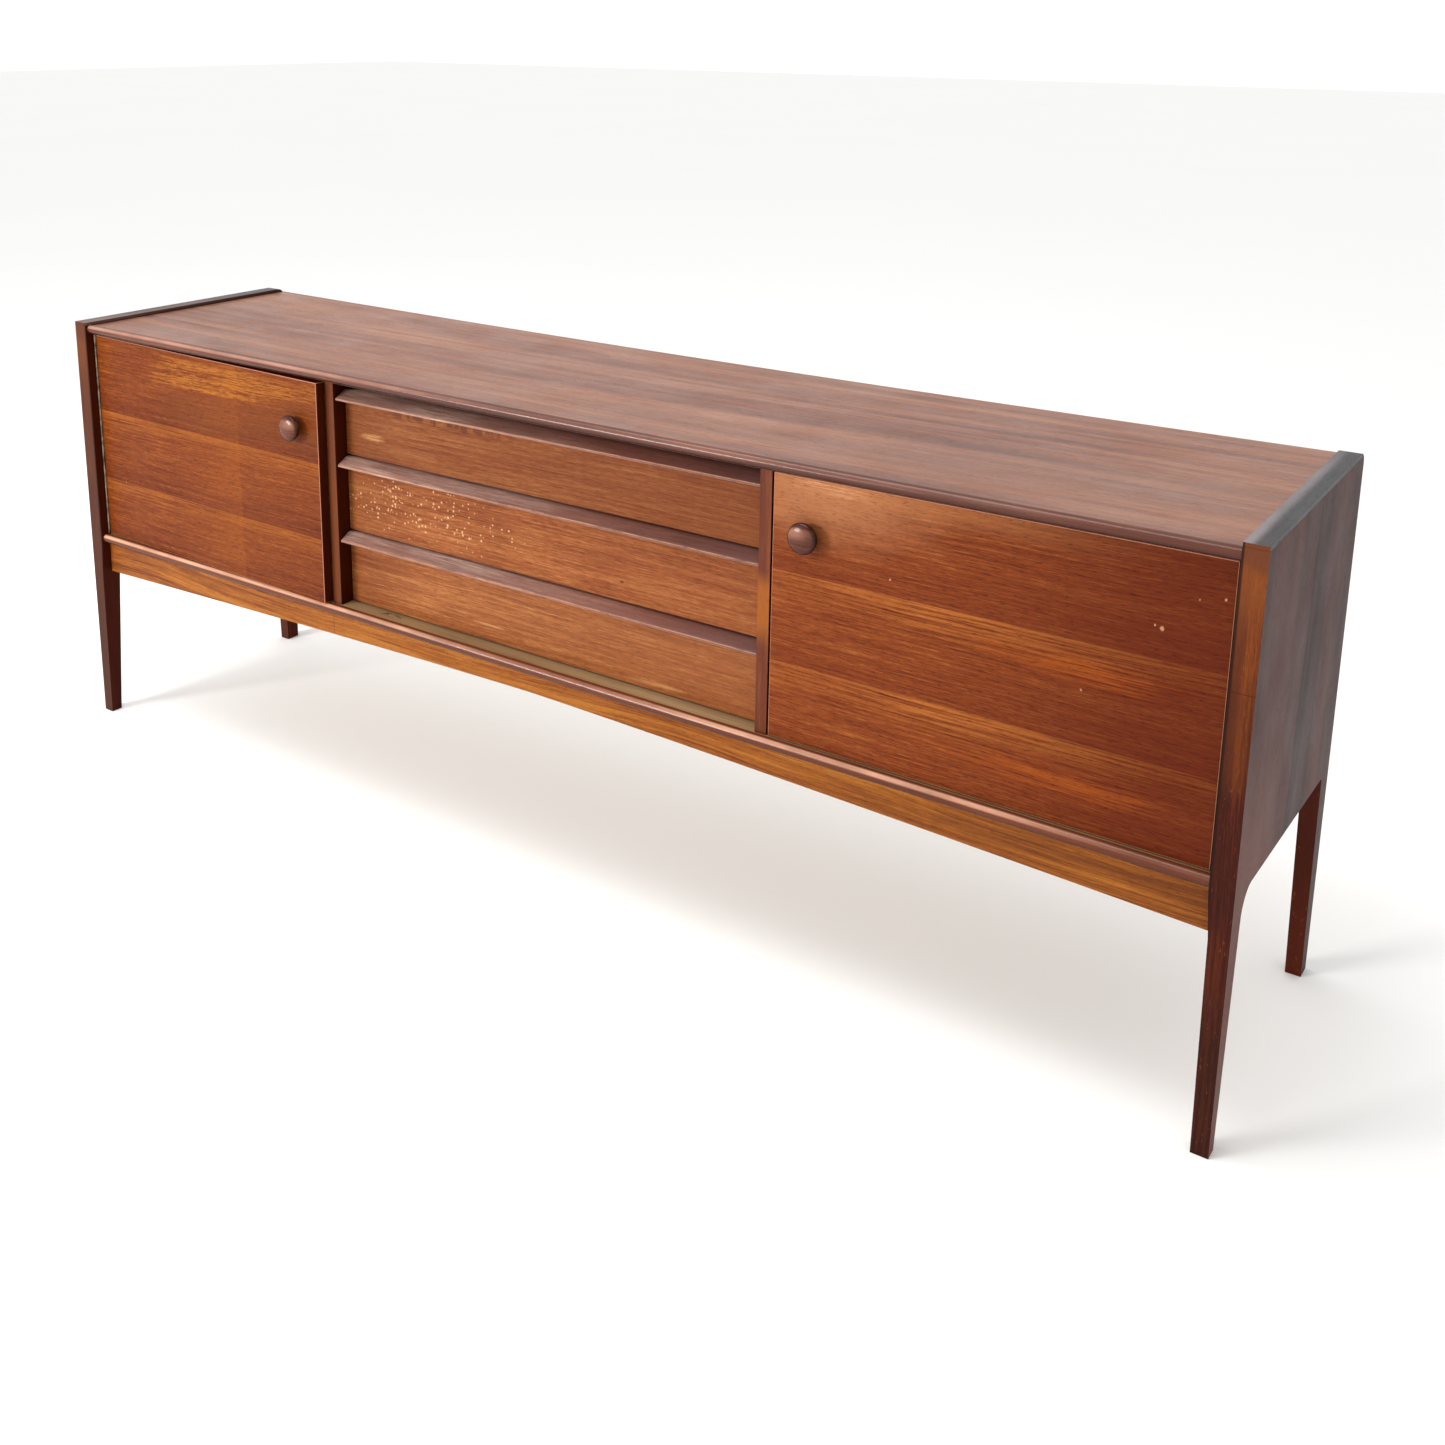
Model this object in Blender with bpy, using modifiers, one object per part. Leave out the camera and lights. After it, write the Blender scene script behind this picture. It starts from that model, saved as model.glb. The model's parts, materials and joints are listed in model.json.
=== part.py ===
"""Long low teak sideboard used as a television console.

Two shaped end boards carry a top board and a bottom board. Two dividers make a
cupboard at each end and a bank of three drawers between them. Each door hangs on
a full-height piano hinge beside its end board, and each drawer slides on a pair
of wooden runners let into its sides.

+X runs to the right along the front, +Y to the back and +Z up. The origin is on
the floor at the middle of the whole footprint, knobs included. All values are in
metres. Positions called "back" are measured from the front edge of the end boards.
"""

import math

import bmesh
import bpy
from mathutils import Matrix

# ---------------------------------------------------------------- whole object
WIDTH = 2.000
DEPTH = 0.449
HEIGHT = 0.7265
FRONT_REACH = 0.021          # how far the left knob stands in front of the end boards
GAP = 0.0003                 # between pieces that touch

# ---------------------------------------------------------------- end boards
END_THICK = 0.028
LEG_THICK_TOP = 0.0238       # leg thickness just below the aprons
LEG_THICK_FOOT = 0.0205
TAPER_TOP_Z = 0.325          # where the board begins to thin
TAPER_MID_Z = 0.270
LIP_HEIGHT = 0.005           # solid lipping glued along the top edge
LIP_CORNER_R = 0.016         # rounded top corner at the back
FRONT_LEG_DEPTH = 0.0365
FRONT_FOOT_DEPTH = 0.0195
REAR_LEG_DEPTH = 0.038
REAR_FOOT_DEPTH = 0.026
ARCH_FRONT_Z = 0.314         # underside of the end board between its legs
ARCH_REAR_Z = 0.297
ARCH_FRONT_R = 0.034
ARCH_REAR_R = 0.006

# ---------------------------------------------------------------- boards and mouldings
BOARD_THICK = 0.016
TOP_FACE_Z = 0.7205
BOTTOM_FACE_Z = 0.3400
BOARD_FRONT = 0.0125
BOARD_BACK = 0.4475
MOULDING_HEIGHT = 0.0165
MOULDING_DEPTH = 0.0092
MOULDING_LIP = 0.0018        # how far a moulding stands above its board
BACK_THICK = 0.005
BACK_FRONT = 0.4400

# ---------------------------------------------------------------- aprons
APRON_FRONT = 0.0157
APRON_THICK = 0.018
APRON_END_Z = 0.2695         # lowest point, at the legs
APRON_RISE = 0.0249          # how much higher the middle is
APRON_CURVE = 1.3            # power of the arched lower edge
APRON_STEPS = 32
REAR_APRON_FRONT = 0.408

# ---------------------------------------------------------------- dividers, shelves
DIVIDER_THICK = 0.018
DIVIDER_INNER = 0.382        # from the middle to the drawers' side of a divider
FACE_BACK = 0.0165           # front face of dividers and closed doors
SHELF_THICK = 0.016
SHELF_TOP_Z = 0.531
SHELF_FRONT = 0.070
SHELF_TO_BACK = 0.002        # free space behind a shelf
BATTEN = 0.014
BATTEN_SHORT = 0.010         # a batten stops this far inside the shelf's front and the back

# ---------------------------------------------------------------- doors
DOOR_THICK = 0.018
DOOR_FREE_X = 0.4025         # free edge, from the middle
DOOR_HINGE_X = 0.9674        # hinged edge
DOOR_BOTTOM_Z = 0.3420
DOOR_TOP_Z = 0.7030
LEFT_DOOR_AJAR = math.radians(1.6)
KNOB_FROM_EDGE = 0.050
KNOB_Z = 0.6235
KNOB_R = 0.0205
KNOB_LENGTH = 0.0226
KNOB_WAIST = 0.0145          # widest plane, from the door's face
NECK_R = 0.0075
NECK_FLARE = 1.04            # how much wider the neck is where it meets the door
KNOB_UNDER = (               # share of the knob's radius, distance below its widest plane
    (0.985, 0.0020),
    (0.900, 0.0038),
    (0.700, 0.0054),
    (0.440, 0.0068),
)
NECK_TOP = 0.0088            # below the widest plane
SCREW_R = 0.0019
SCREW_HOLE_R = 0.0023
SCREW_HEAD_R = 0.0042
SCREW_HEAD = 0.0022
SCREW_DEPTH = 0.012          # into the knob
SCREW_FREE = 0.001           # space between the screw's tip and the bottom of its hole

# ---------------------------------------------------------------- piano hinges
AXIS_X = 0.9697
AXIS_BACK = 0.0155
KNUCKLE_R = 0.0020
BORE_R = 0.0010
PIN_R = 0.00092
LEAF_IN = 0.0011             # near face of a leaf, from the axis
LEAF_DEPTH = 0.0185
KNUCKLES = 12
ROUND_STEPS = 12

# ---------------------------------------------------------------- catches
CATCH_X = (0.424, 0.450)
CATCH_BACK = (0.0365, 0.0530)
CATCH_LOW_Z = 0.6900
STRIKE_THICK = 0.0012
STRIKE_BELOW = 0.001         # a strike stops this far below the door's top

# ---------------------------------------------------------------- drawers
DRAWER_HALF = 0.3805         # half the width of a front
DRAWER_FACE = 0.040          # front face of the drawer fronts
FRONT_THICK = 0.018
DRAWER_TOPS = (0.6860, 0.5800, 0.4575)
DRAWER_LOWS = (0.5835, 0.4610, 0.3425)
PULL_HEIGHT = 0.012
NOSE_BACK = 0.0195
NOSE_DROP = 0.0135
NOSE_THICK = 0.0035
NOSE_FLAT = 0.003            # flat under the nose, front to back
UNDERCUT = 0.004             # hollow under the pull, where it meets the drawer's front
PULL_FLAT = 0.0375
SIDE_OUT = 0.3800            # outer face of a drawer side, from the middle
SIDE_THICK = 0.012
SIDE_BACK = 0.4200
SIDE_LOW = 0.004             # above the bottom of the front
SIDE_UNDER_TOP = 0.024
BOX_BACK_THICK = 0.010
BOTTOM_UP = 0.010
BOTTOM_THICK = 0.004
GROOVE_DEPTH = 0.006
GROOVE_HEIGHT = 0.010
RUNNER_HEIGHT = 0.0092
RUNNER_IN = 0.3750           # inner face of a runner, from the middle
RUNNER_SPAN = (0.064, 0.432)

FRONT_Y = -(DEPTH - FRONT_REACH) / 2.0
END_INNER = WIDTH / 2.0 - END_THICK
DIVIDER_OUTER = DIVIDER_INNER + DIVIDER_THICK
TOP_UNDER_Z = TOP_FACE_Z - BOARD_THICK
BOTTOM_UNDER_Z = BOTTOM_FACE_Z - BOARD_THICK

for old in list(bpy.data.objects):
    bpy.data.objects.remove(old, do_unlink=True)

MODEL = bpy.data.collections.new("teak_sideboard")
CUTTERS = bpy.data.collections.new("cutters")
bpy.context.scene.collection.children.link(MODEL)
bpy.context.scene.collection.children.link(CUTTERS)


# ---------------------------------------------------------------- helpers
def y_at(back):
    """World y of a distance measured back from the end boards' front edge."""
    return FRONT_Y + back


def material(name, colour, roughness, metallic=0.0):
    mat = bpy.data.materials.new(name)
    mat.use_nodes = True
    shader = mat.node_tree.nodes["Principled BSDF"]
    shader.inputs["Base Color"].default_value = (*colour, 1.0)
    shader.inputs["Roughness"].default_value = roughness
    shader.inputs["Metallic"].default_value = metallic
    mat.diffuse_color = (*colour, 1.0)
    return mat


TEAK = ((0.250, 0.085, 0.040), 0.42, 0.0)
TEAK_DARK = ((0.110, 0.045, 0.035), 0.38, 0.0)
TEAK_GREY = ((0.150, 0.105, 0.098), 0.36, 0.0)
TEAK_TOP = ((0.270, 0.140, 0.100), 0.35, 0.0)
TEAK_GOLD = ((0.380, 0.160, 0.045), 0.45, 0.0)
INNER_WOOD = ((0.420, 0.250, 0.120), 0.60, 0.0)
BRASS = ((0.330, 0.240, 0.110), 0.40, 1.0)
STEEL = ((0.450, 0.440, 0.420), 0.35, 1.0)
PLASTIC = ((0.120, 0.075, 0.045), 0.50, 0.0)


def finish(name, mesh, centre, look, parent=None, collection=MODEL):
    """Put a mesh, built about its own centre, at a world position."""
    ob = bpy.data.objects.new(name, mesh)
    collection.objects.link(ob)
    if look is not None:
        mesh.materials.append(material(name, *look))
    ob.location = centre
    if parent is not None:
        ob.parent = parent
        ob.location = (
            centre[0] - parent.location.x,
            centre[1] - parent.location.y,
            centre[2] - parent.location.z,
        )
    return ob


def pivot(name, place):
    """An empty at a joint's axis or a drawer's face, which carries its pieces."""
    empty = bpy.data.objects.new(name, None)
    empty.empty_display_size = 0.05
    empty.location = place
    MODEL.objects.link(empty)
    return empty


def box(name, xs, ys, zs, look, parent=None, collection=MODEL):
    """A board between two x, two y and two z values; ys are measured back."""
    ys = (y_at(ys[0]), y_at(ys[1]))
    size = (xs[1] - xs[0], ys[1] - ys[0], zs[1] - zs[0])
    centre = ((xs[0] + xs[1]) / 2, (ys[0] + ys[1]) / 2, (zs[0] + zs[1]) / 2)
    bm = bmesh.new()
    bmesh.ops.create_cube(bm, size=1.0, matrix=Matrix.Diagonal((*size, 1.0)))
    mesh = bpy.data.meshes.new(name)
    bm.to_mesh(mesh)
    bm.free()
    return finish(name, mesh, centre, look, parent, collection)


def outline_mesh(name, loops, thickness, turn):
    """Extrude flat outlines (the first is the outside, others are holes)."""
    curve = bpy.data.curves.new(name + "_outline", "CURVE")
    curve.dimensions = "2D"
    curve.fill_mode = "BOTH"
    curve.extrude = thickness / 2.0
    for loop in loops:
        spline = curve.splines.new("POLY")
        spline.points.add(len(loop) - 1)
        for point, (u, v) in zip(spline.points, loop):
            point.co = (u, v, 0.0, 1.0)
        spline.use_cyclic_u = True
    guide = bpy.data.objects.new(name + "_outline", curve)
    CUTTERS.objects.link(guide)
    bpy.context.view_layer.update()
    graph = bpy.context.evaluated_depsgraph_get()
    mesh = bpy.data.meshes.new_from_object(guide.evaluated_get(graph))
    mesh.name = name
    bpy.data.objects.remove(guide)
    bm = bmesh.new()
    bm.from_mesh(mesh)
    bmesh.ops.remove_doubles(bm, verts=bm.verts, dist=0.00001)
    bmesh.ops.recalc_face_normals(bm, faces=bm.faces)
    bmesh.ops.transform(bm, matrix=turn, verts=bm.verts)
    bm.to_mesh(mesh)
    bm.free()
    mesh.materials.clear()
    return mesh


# An outline drawn in (back, up) is extruded across, one in (across, up) from front
# to back, and one in (across, back) is extruded upwards.
SIDE_VIEW = Matrix.Rotation(math.radians(90), 4, "Z") @ Matrix.Rotation(math.radians(90), 4, "X")
FRONT_VIEW = Matrix.Rotation(math.radians(90), 4, "X")
TOP_VIEW = Matrix.Identity(4)


def arc(centre, radius, start, end, steps):
    """Points on an arc, angles in degrees, both ends included."""
    points = []
    for i in range(steps + 1):
        angle = math.radians(start + (end - start) * i / steps)
        points.append((centre[0] + radius * math.cos(angle), centre[1] + radius * math.sin(angle)))
    return points


def turned(name, profile, steps, place, look, parent):
    """A turned piece: profile of (radius, length), outer side from tip to base.

    Its axis points to the front, away from the base.
    """
    mesh = bpy.data.meshes.new(name)
    bm = bmesh.new()
    rows = [bm.verts.new((radius, 0.0, length)) for radius, length in profile]
    for a, b in zip(rows, rows[1:]):
        bm.edges.new((a, b))
    bm.to_mesh(mesh)
    bm.free()
    ob = finish(name, mesh, place, look, parent)
    ob.rotation_euler = (math.radians(90), 0.0, 0.0)
    screw = ob.modifiers.new("turn", "SCREW")
    screw.steps = steps
    screw.render_steps = steps
    screw.use_merge_vertices = True
    screw.merge_threshold = 0.00001
    screw.use_smooth_shade = True
    return ob


def cut(target, cutter):
    cutter.hide_render = True
    cutter.display_type = "WIRE"
    boolean = target.modifiers.new("cut", "BOOLEAN")
    boolean.operation = "DIFFERENCE"
    boolean.solver = "EXACT"
    boolean.object = cutter


# ---------------------------------------------------------------- end boards
def end_thickness(z):
    """Thickness of an end board at a height: full above, thinning down each leg."""
    if z >= TAPER_TOP_Z:
        return END_THICK
    if z >= TAPER_MID_Z:
        share = (z - TAPER_MID_Z) / (TAPER_TOP_Z - TAPER_MID_Z)
        return LEG_THICK_TOP + share * (END_THICK - LEG_THICK_TOP)
    share = z / TAPER_MID_Z
    return LEG_THICK_FOOT + share * (LEG_THICK_TOP - LEG_THICK_FOOT)


def lip_back(z):
    """How far back the rounded top corner reaches at a height."""
    up = z - (HEIGHT - LIP_CORNER_R)
    return DEPTH - LIP_CORNER_R + math.sqrt(max(LIP_CORNER_R ** 2 - up ** 2, 0.0))


def corner_points(low, high, steps):
    """The rounded corner between two heights, from the top down."""
    heights = [high + (low - high) * i / steps for i in range(steps + 1)]
    return [(lip_back(z), z) for z in heights]


def end_outline():
    """Side view of an end board with its two legs and the arch between them."""
    seam = HEIGHT - LIP_HEIGHT - GAP
    points = [(0.0, 0.0), (0.0, seam)]
    points += corner_points(HEIGHT - LIP_CORNER_R, seam, 4)
    points += [(DEPTH, 0.0), (DEPTH - REAR_FOOT_DEPTH, 0.0)]
    rear = DEPTH - REAR_LEG_DEPTH
    points += arc((rear - ARCH_REAR_R, ARCH_REAR_Z - ARCH_REAR_R), ARCH_REAR_R, 0, 90, 4)
    front = FRONT_LEG_DEPTH
    points += arc((front + ARCH_FRONT_R, ARCH_FRONT_Z - ARCH_FRONT_R), ARCH_FRONT_R, 90, 180, 8)
    points.append((FRONT_FOOT_DEPTH, 0.0))
    return points


def lipping_outline():
    """Side view of the lipping: a flat strip whose back end follows the corner."""
    top = HEIGHT
    low = HEIGHT - LIP_HEIGHT
    return [(0.0, low), (0.0, top)] + corner_points(low, top, 4)


def end_board(name, side):
    outer = side * WIDTH / 2.0
    middle = outer - side * END_THICK / 2.0
    mesh = outline_mesh(name, [end_outline()], END_THICK, SIDE_VIEW)
    bm = bmesh.new()
    bm.from_mesh(mesh)
    for height in (TAPER_TOP_Z, TAPER_MID_Z):
        everything = bm.verts[:] + bm.edges[:] + bm.faces[:]
        bmesh.ops.bisect_plane(bm, geom=everything, plane_co=(0, 0, height), plane_no=(0, 0, 1))
    for vert in bm.verts:
        if vert.co.x * side < 0.0:
            vert.co.x = side * (END_THICK / 2.0 - end_thickness(vert.co.z))
    bm.to_mesh(mesh)
    bm.free()
    finish(name + "_board", mesh, (middle, FRONT_Y, 0.0), TEAK_GREY)
    lip = outline_mesh(name, [lipping_outline()], END_THICK, SIDE_VIEW)
    finish(name + "_lipping", lip, (middle, FRONT_Y, 0.0), TEAK_DARK)


end_board("left_end", -1)
end_board("right_end", 1)


# ---------------------------------------------------------------- boards and mouldings
def moulding(name, board_face_z):
    """Half-round moulding glued to a board's front edge."""
    top = board_face_z + MOULDING_LIP
    centre_z = top - MOULDING_HEIGHT / 2.0
    back = BOARD_FRONT - GAP
    points = []
    steps = 12
    for i in range(steps + 1):
        angle = math.radians(-90 + 180 * i / steps)
        points.append(
            (back - MOULDING_DEPTH * math.cos(angle), MOULDING_HEIGHT / 2.0 * math.sin(angle))
        )
    mesh = outline_mesh(name, [points], 2 * (END_INNER - GAP), SIDE_VIEW)
    finish(name, mesh, (0.0, FRONT_Y, centre_z), TEAK_DARK)


SPAN = (-END_INNER + GAP, END_INNER - GAP)
box("top_board", SPAN, (BOARD_FRONT, BOARD_BACK), (TOP_UNDER_Z, TOP_FACE_Z), TEAK_TOP)
box("bottom_board", SPAN, (BOARD_FRONT, BOARD_BACK), (BOTTOM_UNDER_Z, BOTTOM_FACE_Z), TEAK_GOLD)
moulding("top_moulding", TOP_FACE_Z)
moulding("bottom_moulding", BOTTOM_FACE_Z)

INSIDE_Z = (BOTTOM_FACE_Z + GAP, TOP_UNDER_Z - GAP)
box("back_panel", SPAN, (BACK_FRONT, BACK_FRONT + BACK_THICK), INSIDE_Z, INNER_WOOD)


# ---------------------------------------------------------------- aprons
def apron(name, front_back, look):
    """A rail whose lower edge arches up towards the middle."""
    half = END_INNER - GAP
    top = BOTTOM_UNDER_Z - GAP
    points = [(half, top), (-half, top)]
    for i in range(APRON_STEPS + 1):
        across = -half + 2 * half * i / APRON_STEPS
        fall = (abs(across) / half) ** APRON_CURVE
        points.append((across, APRON_END_Z + APRON_RISE * (1.0 - fall)))
    mesh = outline_mesh(name, [points], APRON_THICK, FRONT_VIEW)
    finish(name, mesh, (0.0, y_at(front_back + APRON_THICK / 2.0), 0.0), look)


apron("front_apron", APRON_FRONT, TEAK_GOLD)
apron("rear_apron", REAR_APRON_FRONT, INNER_WOOD)


# ---------------------------------------------------------------- dividers, shelves
def mirrored(side, low, high):
    """An x range given outwards from the middle, on the left (-1) or right (1)."""
    return (side * high, side * low) if side < 0 else (low, high)


for side, label in ((-1, "left"), (1, "right")):
    box(
        label + "_divider",
        mirrored(side, DIVIDER_INNER, DIVIDER_OUTER),
        (FACE_BACK, BACK_FRONT - GAP),
        INSIDE_Z,
        TEAK,
    )
    box(
        label + "_shelf",
        mirrored(side, DIVIDER_OUTER + 2 * GAP, END_INNER - 2 * GAP),
        (SHELF_FRONT, BACK_FRONT - SHELF_TO_BACK),
        (SHELF_TOP_Z - SHELF_THICK, SHELF_TOP_Z),
        INNER_WOOD,
    )
    batten_z = (SHELF_TOP_Z - SHELF_THICK - GAP - BATTEN, SHELF_TOP_Z - SHELF_THICK - GAP)
    batten_ends = (SHELF_FRONT + BATTEN_SHORT, BACK_FRONT - BATTEN_SHORT)
    inner = (DIVIDER_OUTER + GAP, DIVIDER_OUTER + GAP + BATTEN)
    outer = (END_INNER - GAP - BATTEN, END_INNER - GAP)
    box(label + "_batten_inner", mirrored(side, *inner), batten_ends, batten_z, INNER_WOOD)
    box(label + "_batten_outer", mirrored(side, *outer), batten_ends, batten_z, INNER_WOOD)


# ---------------------------------------------------------------- piano hinges
def leaf_outline(toward):
    """Section of a hinge leaf and its barrel; toward is the side its plate is on."""
    touch = math.degrees(math.acos(LEAF_IN / KNUCKLE_R))
    outside = [(KNUCKLE_R, LEAF_DEPTH), (LEAF_IN, LEAF_DEPTH)]
    outside += arc((0.0, 0.0), KNUCKLE_R, touch, 360, 11)
    bore = arc((0.0, 0.0), BORE_R, 0, 360 - 360 / ROUND_STEPS, ROUND_STEPS - 1)
    return [[(toward * x, y) for x, y in outside], [(toward * x, y) for x, y in bore]]


def leaf(name, axis_x, toward, skip_first, parent):
    """One leaf: a plate with every other knuckle cut away for its partner's."""
    low = DOOR_BOTTOM_Z
    high = DOOR_TOP_Z
    pitch = (high - low) / KNUCKLES
    middle = (axis_x, y_at(AXIS_BACK), (low + high) / 2.0)
    mesh = outline_mesh(name, leaf_outline(toward), high - low, TOP_VIEW)
    ob = finish(name, mesh, middle, BRASS, parent)
    bm = bmesh.new()
    for i in range(0 if skip_first else 1, KNUCKLES, 2):
        centre_z = low + pitch * (i + 0.5) - middle[2]
        reach = 1.3 * KNUCKLE_R
        back = KNUCKLE_R * 1.2
        size = (2 * reach, reach + back, pitch + 2 * GAP)
        place = Matrix.Translation((0.0, (back - reach) / 2.0, centre_z))
        bmesh.ops.create_cube(bm, size=1.0, matrix=place @ Matrix.Diagonal((*size, 1.0)))
    cutter_mesh = bpy.data.meshes.new(name + "_gaps")
    bm.to_mesh(cutter_mesh)
    bm.free()
    cutter = finish(name + "_gaps", cutter_mesh, middle, None, parent, CUTTERS)
    cut(ob, cutter)
    return ob


def hinge_pin(name, axis_x):
    mesh = bpy.data.meshes.new(name)
    bm = bmesh.new()
    bmesh.ops.create_cone(
        bm,
        cap_ends=True,
        segments=ROUND_STEPS,
        radius1=PIN_R,
        radius2=PIN_R,
        depth=DOOR_TOP_Z - DOOR_BOTTOM_Z,
    )
    bm.to_mesh(mesh)
    bm.free()
    mesh.shade_smooth()
    mesh.set_sharp_from_angle(angle=math.radians(40))
    middle = (axis_x, y_at(AXIS_BACK), (DOOR_TOP_Z + DOOR_BOTTOM_Z) / 2.0)
    finish(name, mesh, middle, STEEL)


# ---------------------------------------------------------------- doors
def knob_profile():
    """Mushroom knob from the tip of its dome down to its neck and screw hole."""
    dome = []
    steps = 7
    for i in range(steps + 1):
        angle = math.radians(90 - 90 * i / steps)
        rise = (KNOB_LENGTH - KNOB_WAIST) * math.sin(angle)
        dome.append((KNOB_R * math.cos(angle) ** 0.9, KNOB_WAIST + rise))
    dome[0] = (0.0, KNOB_LENGTH)
    under = [(KNOB_R * share, KNOB_WAIST - drop) for share, drop in KNOB_UNDER]
    neck = [(NECK_R, KNOB_WAIST - NECK_TOP), (NECK_R * NECK_FLARE, GAP)]
    end = SCREW_DEPTH + SCREW_FREE
    return dome + under + neck + [(SCREW_HOLE_R, GAP), (SCREW_HOLE_R, end), (0.0, end)]


def screw_profile():
    """Pan-head screw, from its tip to its head, measured from the door's face."""
    head = -DOOR_THICK - GAP
    return [
        (0.0, SCREW_DEPTH),
        (SCREW_R, SCREW_DEPTH),
        (SCREW_R, head),
        (SCREW_HEAD_R, head),
        (SCREW_HEAD_R * 0.9, head - SCREW_HEAD * 0.6),
        (SCREW_HEAD_R * 0.6, head - SCREW_HEAD),
        (0.0, head - SCREW_HEAD),
    ]


def door(label, side, ajar):
    """A door with its knob, hinge leaf and strike plate, turned about its hinge."""
    axis_x = side * AXIS_X
    hinge = pivot(label + "_door_pivot", (axis_x, y_at(AXIS_BACK), 0.0))
    panel = box(
        label + "_door",
        mirrored(side, DOOR_FREE_X, DOOR_HINGE_X),
        (FACE_BACK, FACE_BACK + DOOR_THICK),
        (DOOR_BOTTOM_Z, DOOR_TOP_Z),
        TEAK,
        hinge,
    )
    knob_x = side * (DOOR_FREE_X + KNOB_FROM_EDGE)
    drill_mesh = bpy.data.meshes.new(label + "_knob_hole")
    bm = bmesh.new()
    bmesh.ops.create_cone(
        bm,
        cap_ends=True,
        segments=16,
        radius1=SCREW_HOLE_R,
        radius2=SCREW_HOLE_R,
        depth=2 * DOOR_THICK,
        matrix=Matrix.Rotation(math.radians(90), 4, "X"),
    )
    bm.to_mesh(drill_mesh)
    bm.free()
    place = (knob_x, y_at(FACE_BACK + DOOR_THICK / 2.0), KNOB_Z)
    drill = finish(label + "_knob_hole", drill_mesh, place, None, hinge, CUTTERS)
    cut(panel, drill)
    face = (knob_x, y_at(FACE_BACK), KNOB_Z)
    turned(label + "_knob", knob_profile(), 28, face, TEAK_DARK, hinge)
    turned(label + "_knob_screw", screw_profile(), 12, face, STEEL, hinge)
    leaf(label + "_hinge_leaf_door", axis_x, -side, True, hinge)
    strike_x = mirrored(side, *CATCH_X)
    back_face = FACE_BACK + DOOR_THICK + GAP
    box(
        label + "_strike",
        strike_x,
        (back_face, back_face + STRIKE_THICK),
        (CATCH_LOW_Z, DOOR_TOP_Z - STRIKE_BELOW),
        STEEL,
        hinge,
    )
    hinge.rotation_euler.z = side * ajar
    leaf(label + "_hinge_leaf_cabinet", axis_x, side, False, None)
    hinge_pin(label + "_hinge_pin", axis_x)
    box(label + "_catch", strike_x, CATCH_BACK, (CATCH_LOW_Z, TOP_UNDER_Z - GAP), PLASTIC)


door("left", -1, LEFT_DOOR_AJAR)
door("right", 1, 0.0)


# ---------------------------------------------------------------- drawers
def pull_outline(top):
    """Section of the finger pull: a flat, a slope down to a nose, and an undercut."""
    nose = top - NOSE_DROP
    low = top - PULL_HEIGHT
    root = DRAWER_FACE - GAP
    return [
        (DRAWER_FACE + FRONT_THICK, low),
        (DRAWER_FACE + FRONT_THICK, top),
        (PULL_FLAT, top),
        (NOSE_BACK, nose + NOSE_THICK),
        (NOSE_BACK, nose),
        (NOSE_BACK + NOSE_FLAT, nose),
        (root - UNDERCUT, low + UNDERCUT),
        (root, low + UNDERCUT / 2.0),
        (root, low),
    ]


def side_outline(low, high, side):
    """Section of a drawer side with the groove that rides on its runner."""
    middle = (low + high) / 2.0
    out = SIDE_OUT
    inner = SIDE_OUT - SIDE_THICK
    floor = SIDE_OUT - GROOVE_DEPTH
    up = middle + GROOVE_HEIGHT / 2.0
    down = middle - GROOVE_HEIGHT / 2.0
    points = [
        (inner, low),
        (out, low),
        (out, down),
        (floor, down),
        (floor, up),
        (out, up),
        (out, high),
        (inner, high),
    ]
    return [(side * x, z) for x, z in points]


def drawer(number, low, top):
    name = "drawer_" + str(number)
    slide = pivot(name + "_face", (0.0, y_at(DRAWER_FACE), low))
    board_top = top - PULL_HEIGHT - GAP
    face = (DRAWER_FACE, DRAWER_FACE + FRONT_THICK)
    box(name + "_front", (-DRAWER_HALF, DRAWER_HALF), face, (low, board_top), TEAK, slide)
    mesh = outline_mesh(name, [pull_outline(top)], 2 * DRAWER_HALF, SIDE_VIEW)
    finish(name + "_pull", mesh, (0.0, FRONT_Y, 0.0), TEAK_DARK, slide)
    side_low = low + SIDE_LOW
    side_high = top - SIDE_UNDER_TOP
    side_front = DRAWER_FACE + FRONT_THICK + GAP
    length = SIDE_BACK - side_front
    middle_y = y_at((SIDE_BACK + side_front) / 2.0)
    for side, label in ((-1, "left"), (1, "right")):
        outline = [side_outline(side_low, side_high, side)]
        mesh = outline_mesh(name, outline, length, FRONT_VIEW)
        finish(name + "_side_" + label, mesh, (0.0, middle_y, 0.0), INNER_WOOD, slide)
        groove_z = (side_low + side_high) / 2.0
        box(
            name + "_runner_" + label,
            mirrored(side, RUNNER_IN, DIVIDER_INNER - GAP),
            RUNNER_SPAN,
            (groove_z - RUNNER_HEIGHT / 2.0, groove_z + RUNNER_HEIGHT / 2.0),
            INNER_WOOD,
        )
    inside = SIDE_OUT - SIDE_THICK - GAP
    rear = SIDE_BACK - BOX_BACK_THICK
    back_low = low + BOTTOM_UP + BOTTOM_THICK + GAP
    box(name + "_back", (-inside, inside), (rear, SIDE_BACK), (back_low, side_high), INNER_WOOD, slide)
    floor_z = (low + BOTTOM_UP, low + BOTTOM_UP + BOTTOM_THICK)
    box(name + "_bottom", (-inside, inside), (side_front, SIDE_BACK), floor_z, INNER_WOOD, slide)


for number, (low, top) in enumerate(zip(DRAWER_LOWS, DRAWER_TOPS), start=1):
    drawer(number, low, top)
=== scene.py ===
"""Looks of the teak sideboard: eased boards, turned knobs, mouldings and wood finishes.

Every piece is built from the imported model's own boxes or boards, in metres, +X along
the front, +Y to the back and +Z up.
"""

import json
import math

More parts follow.
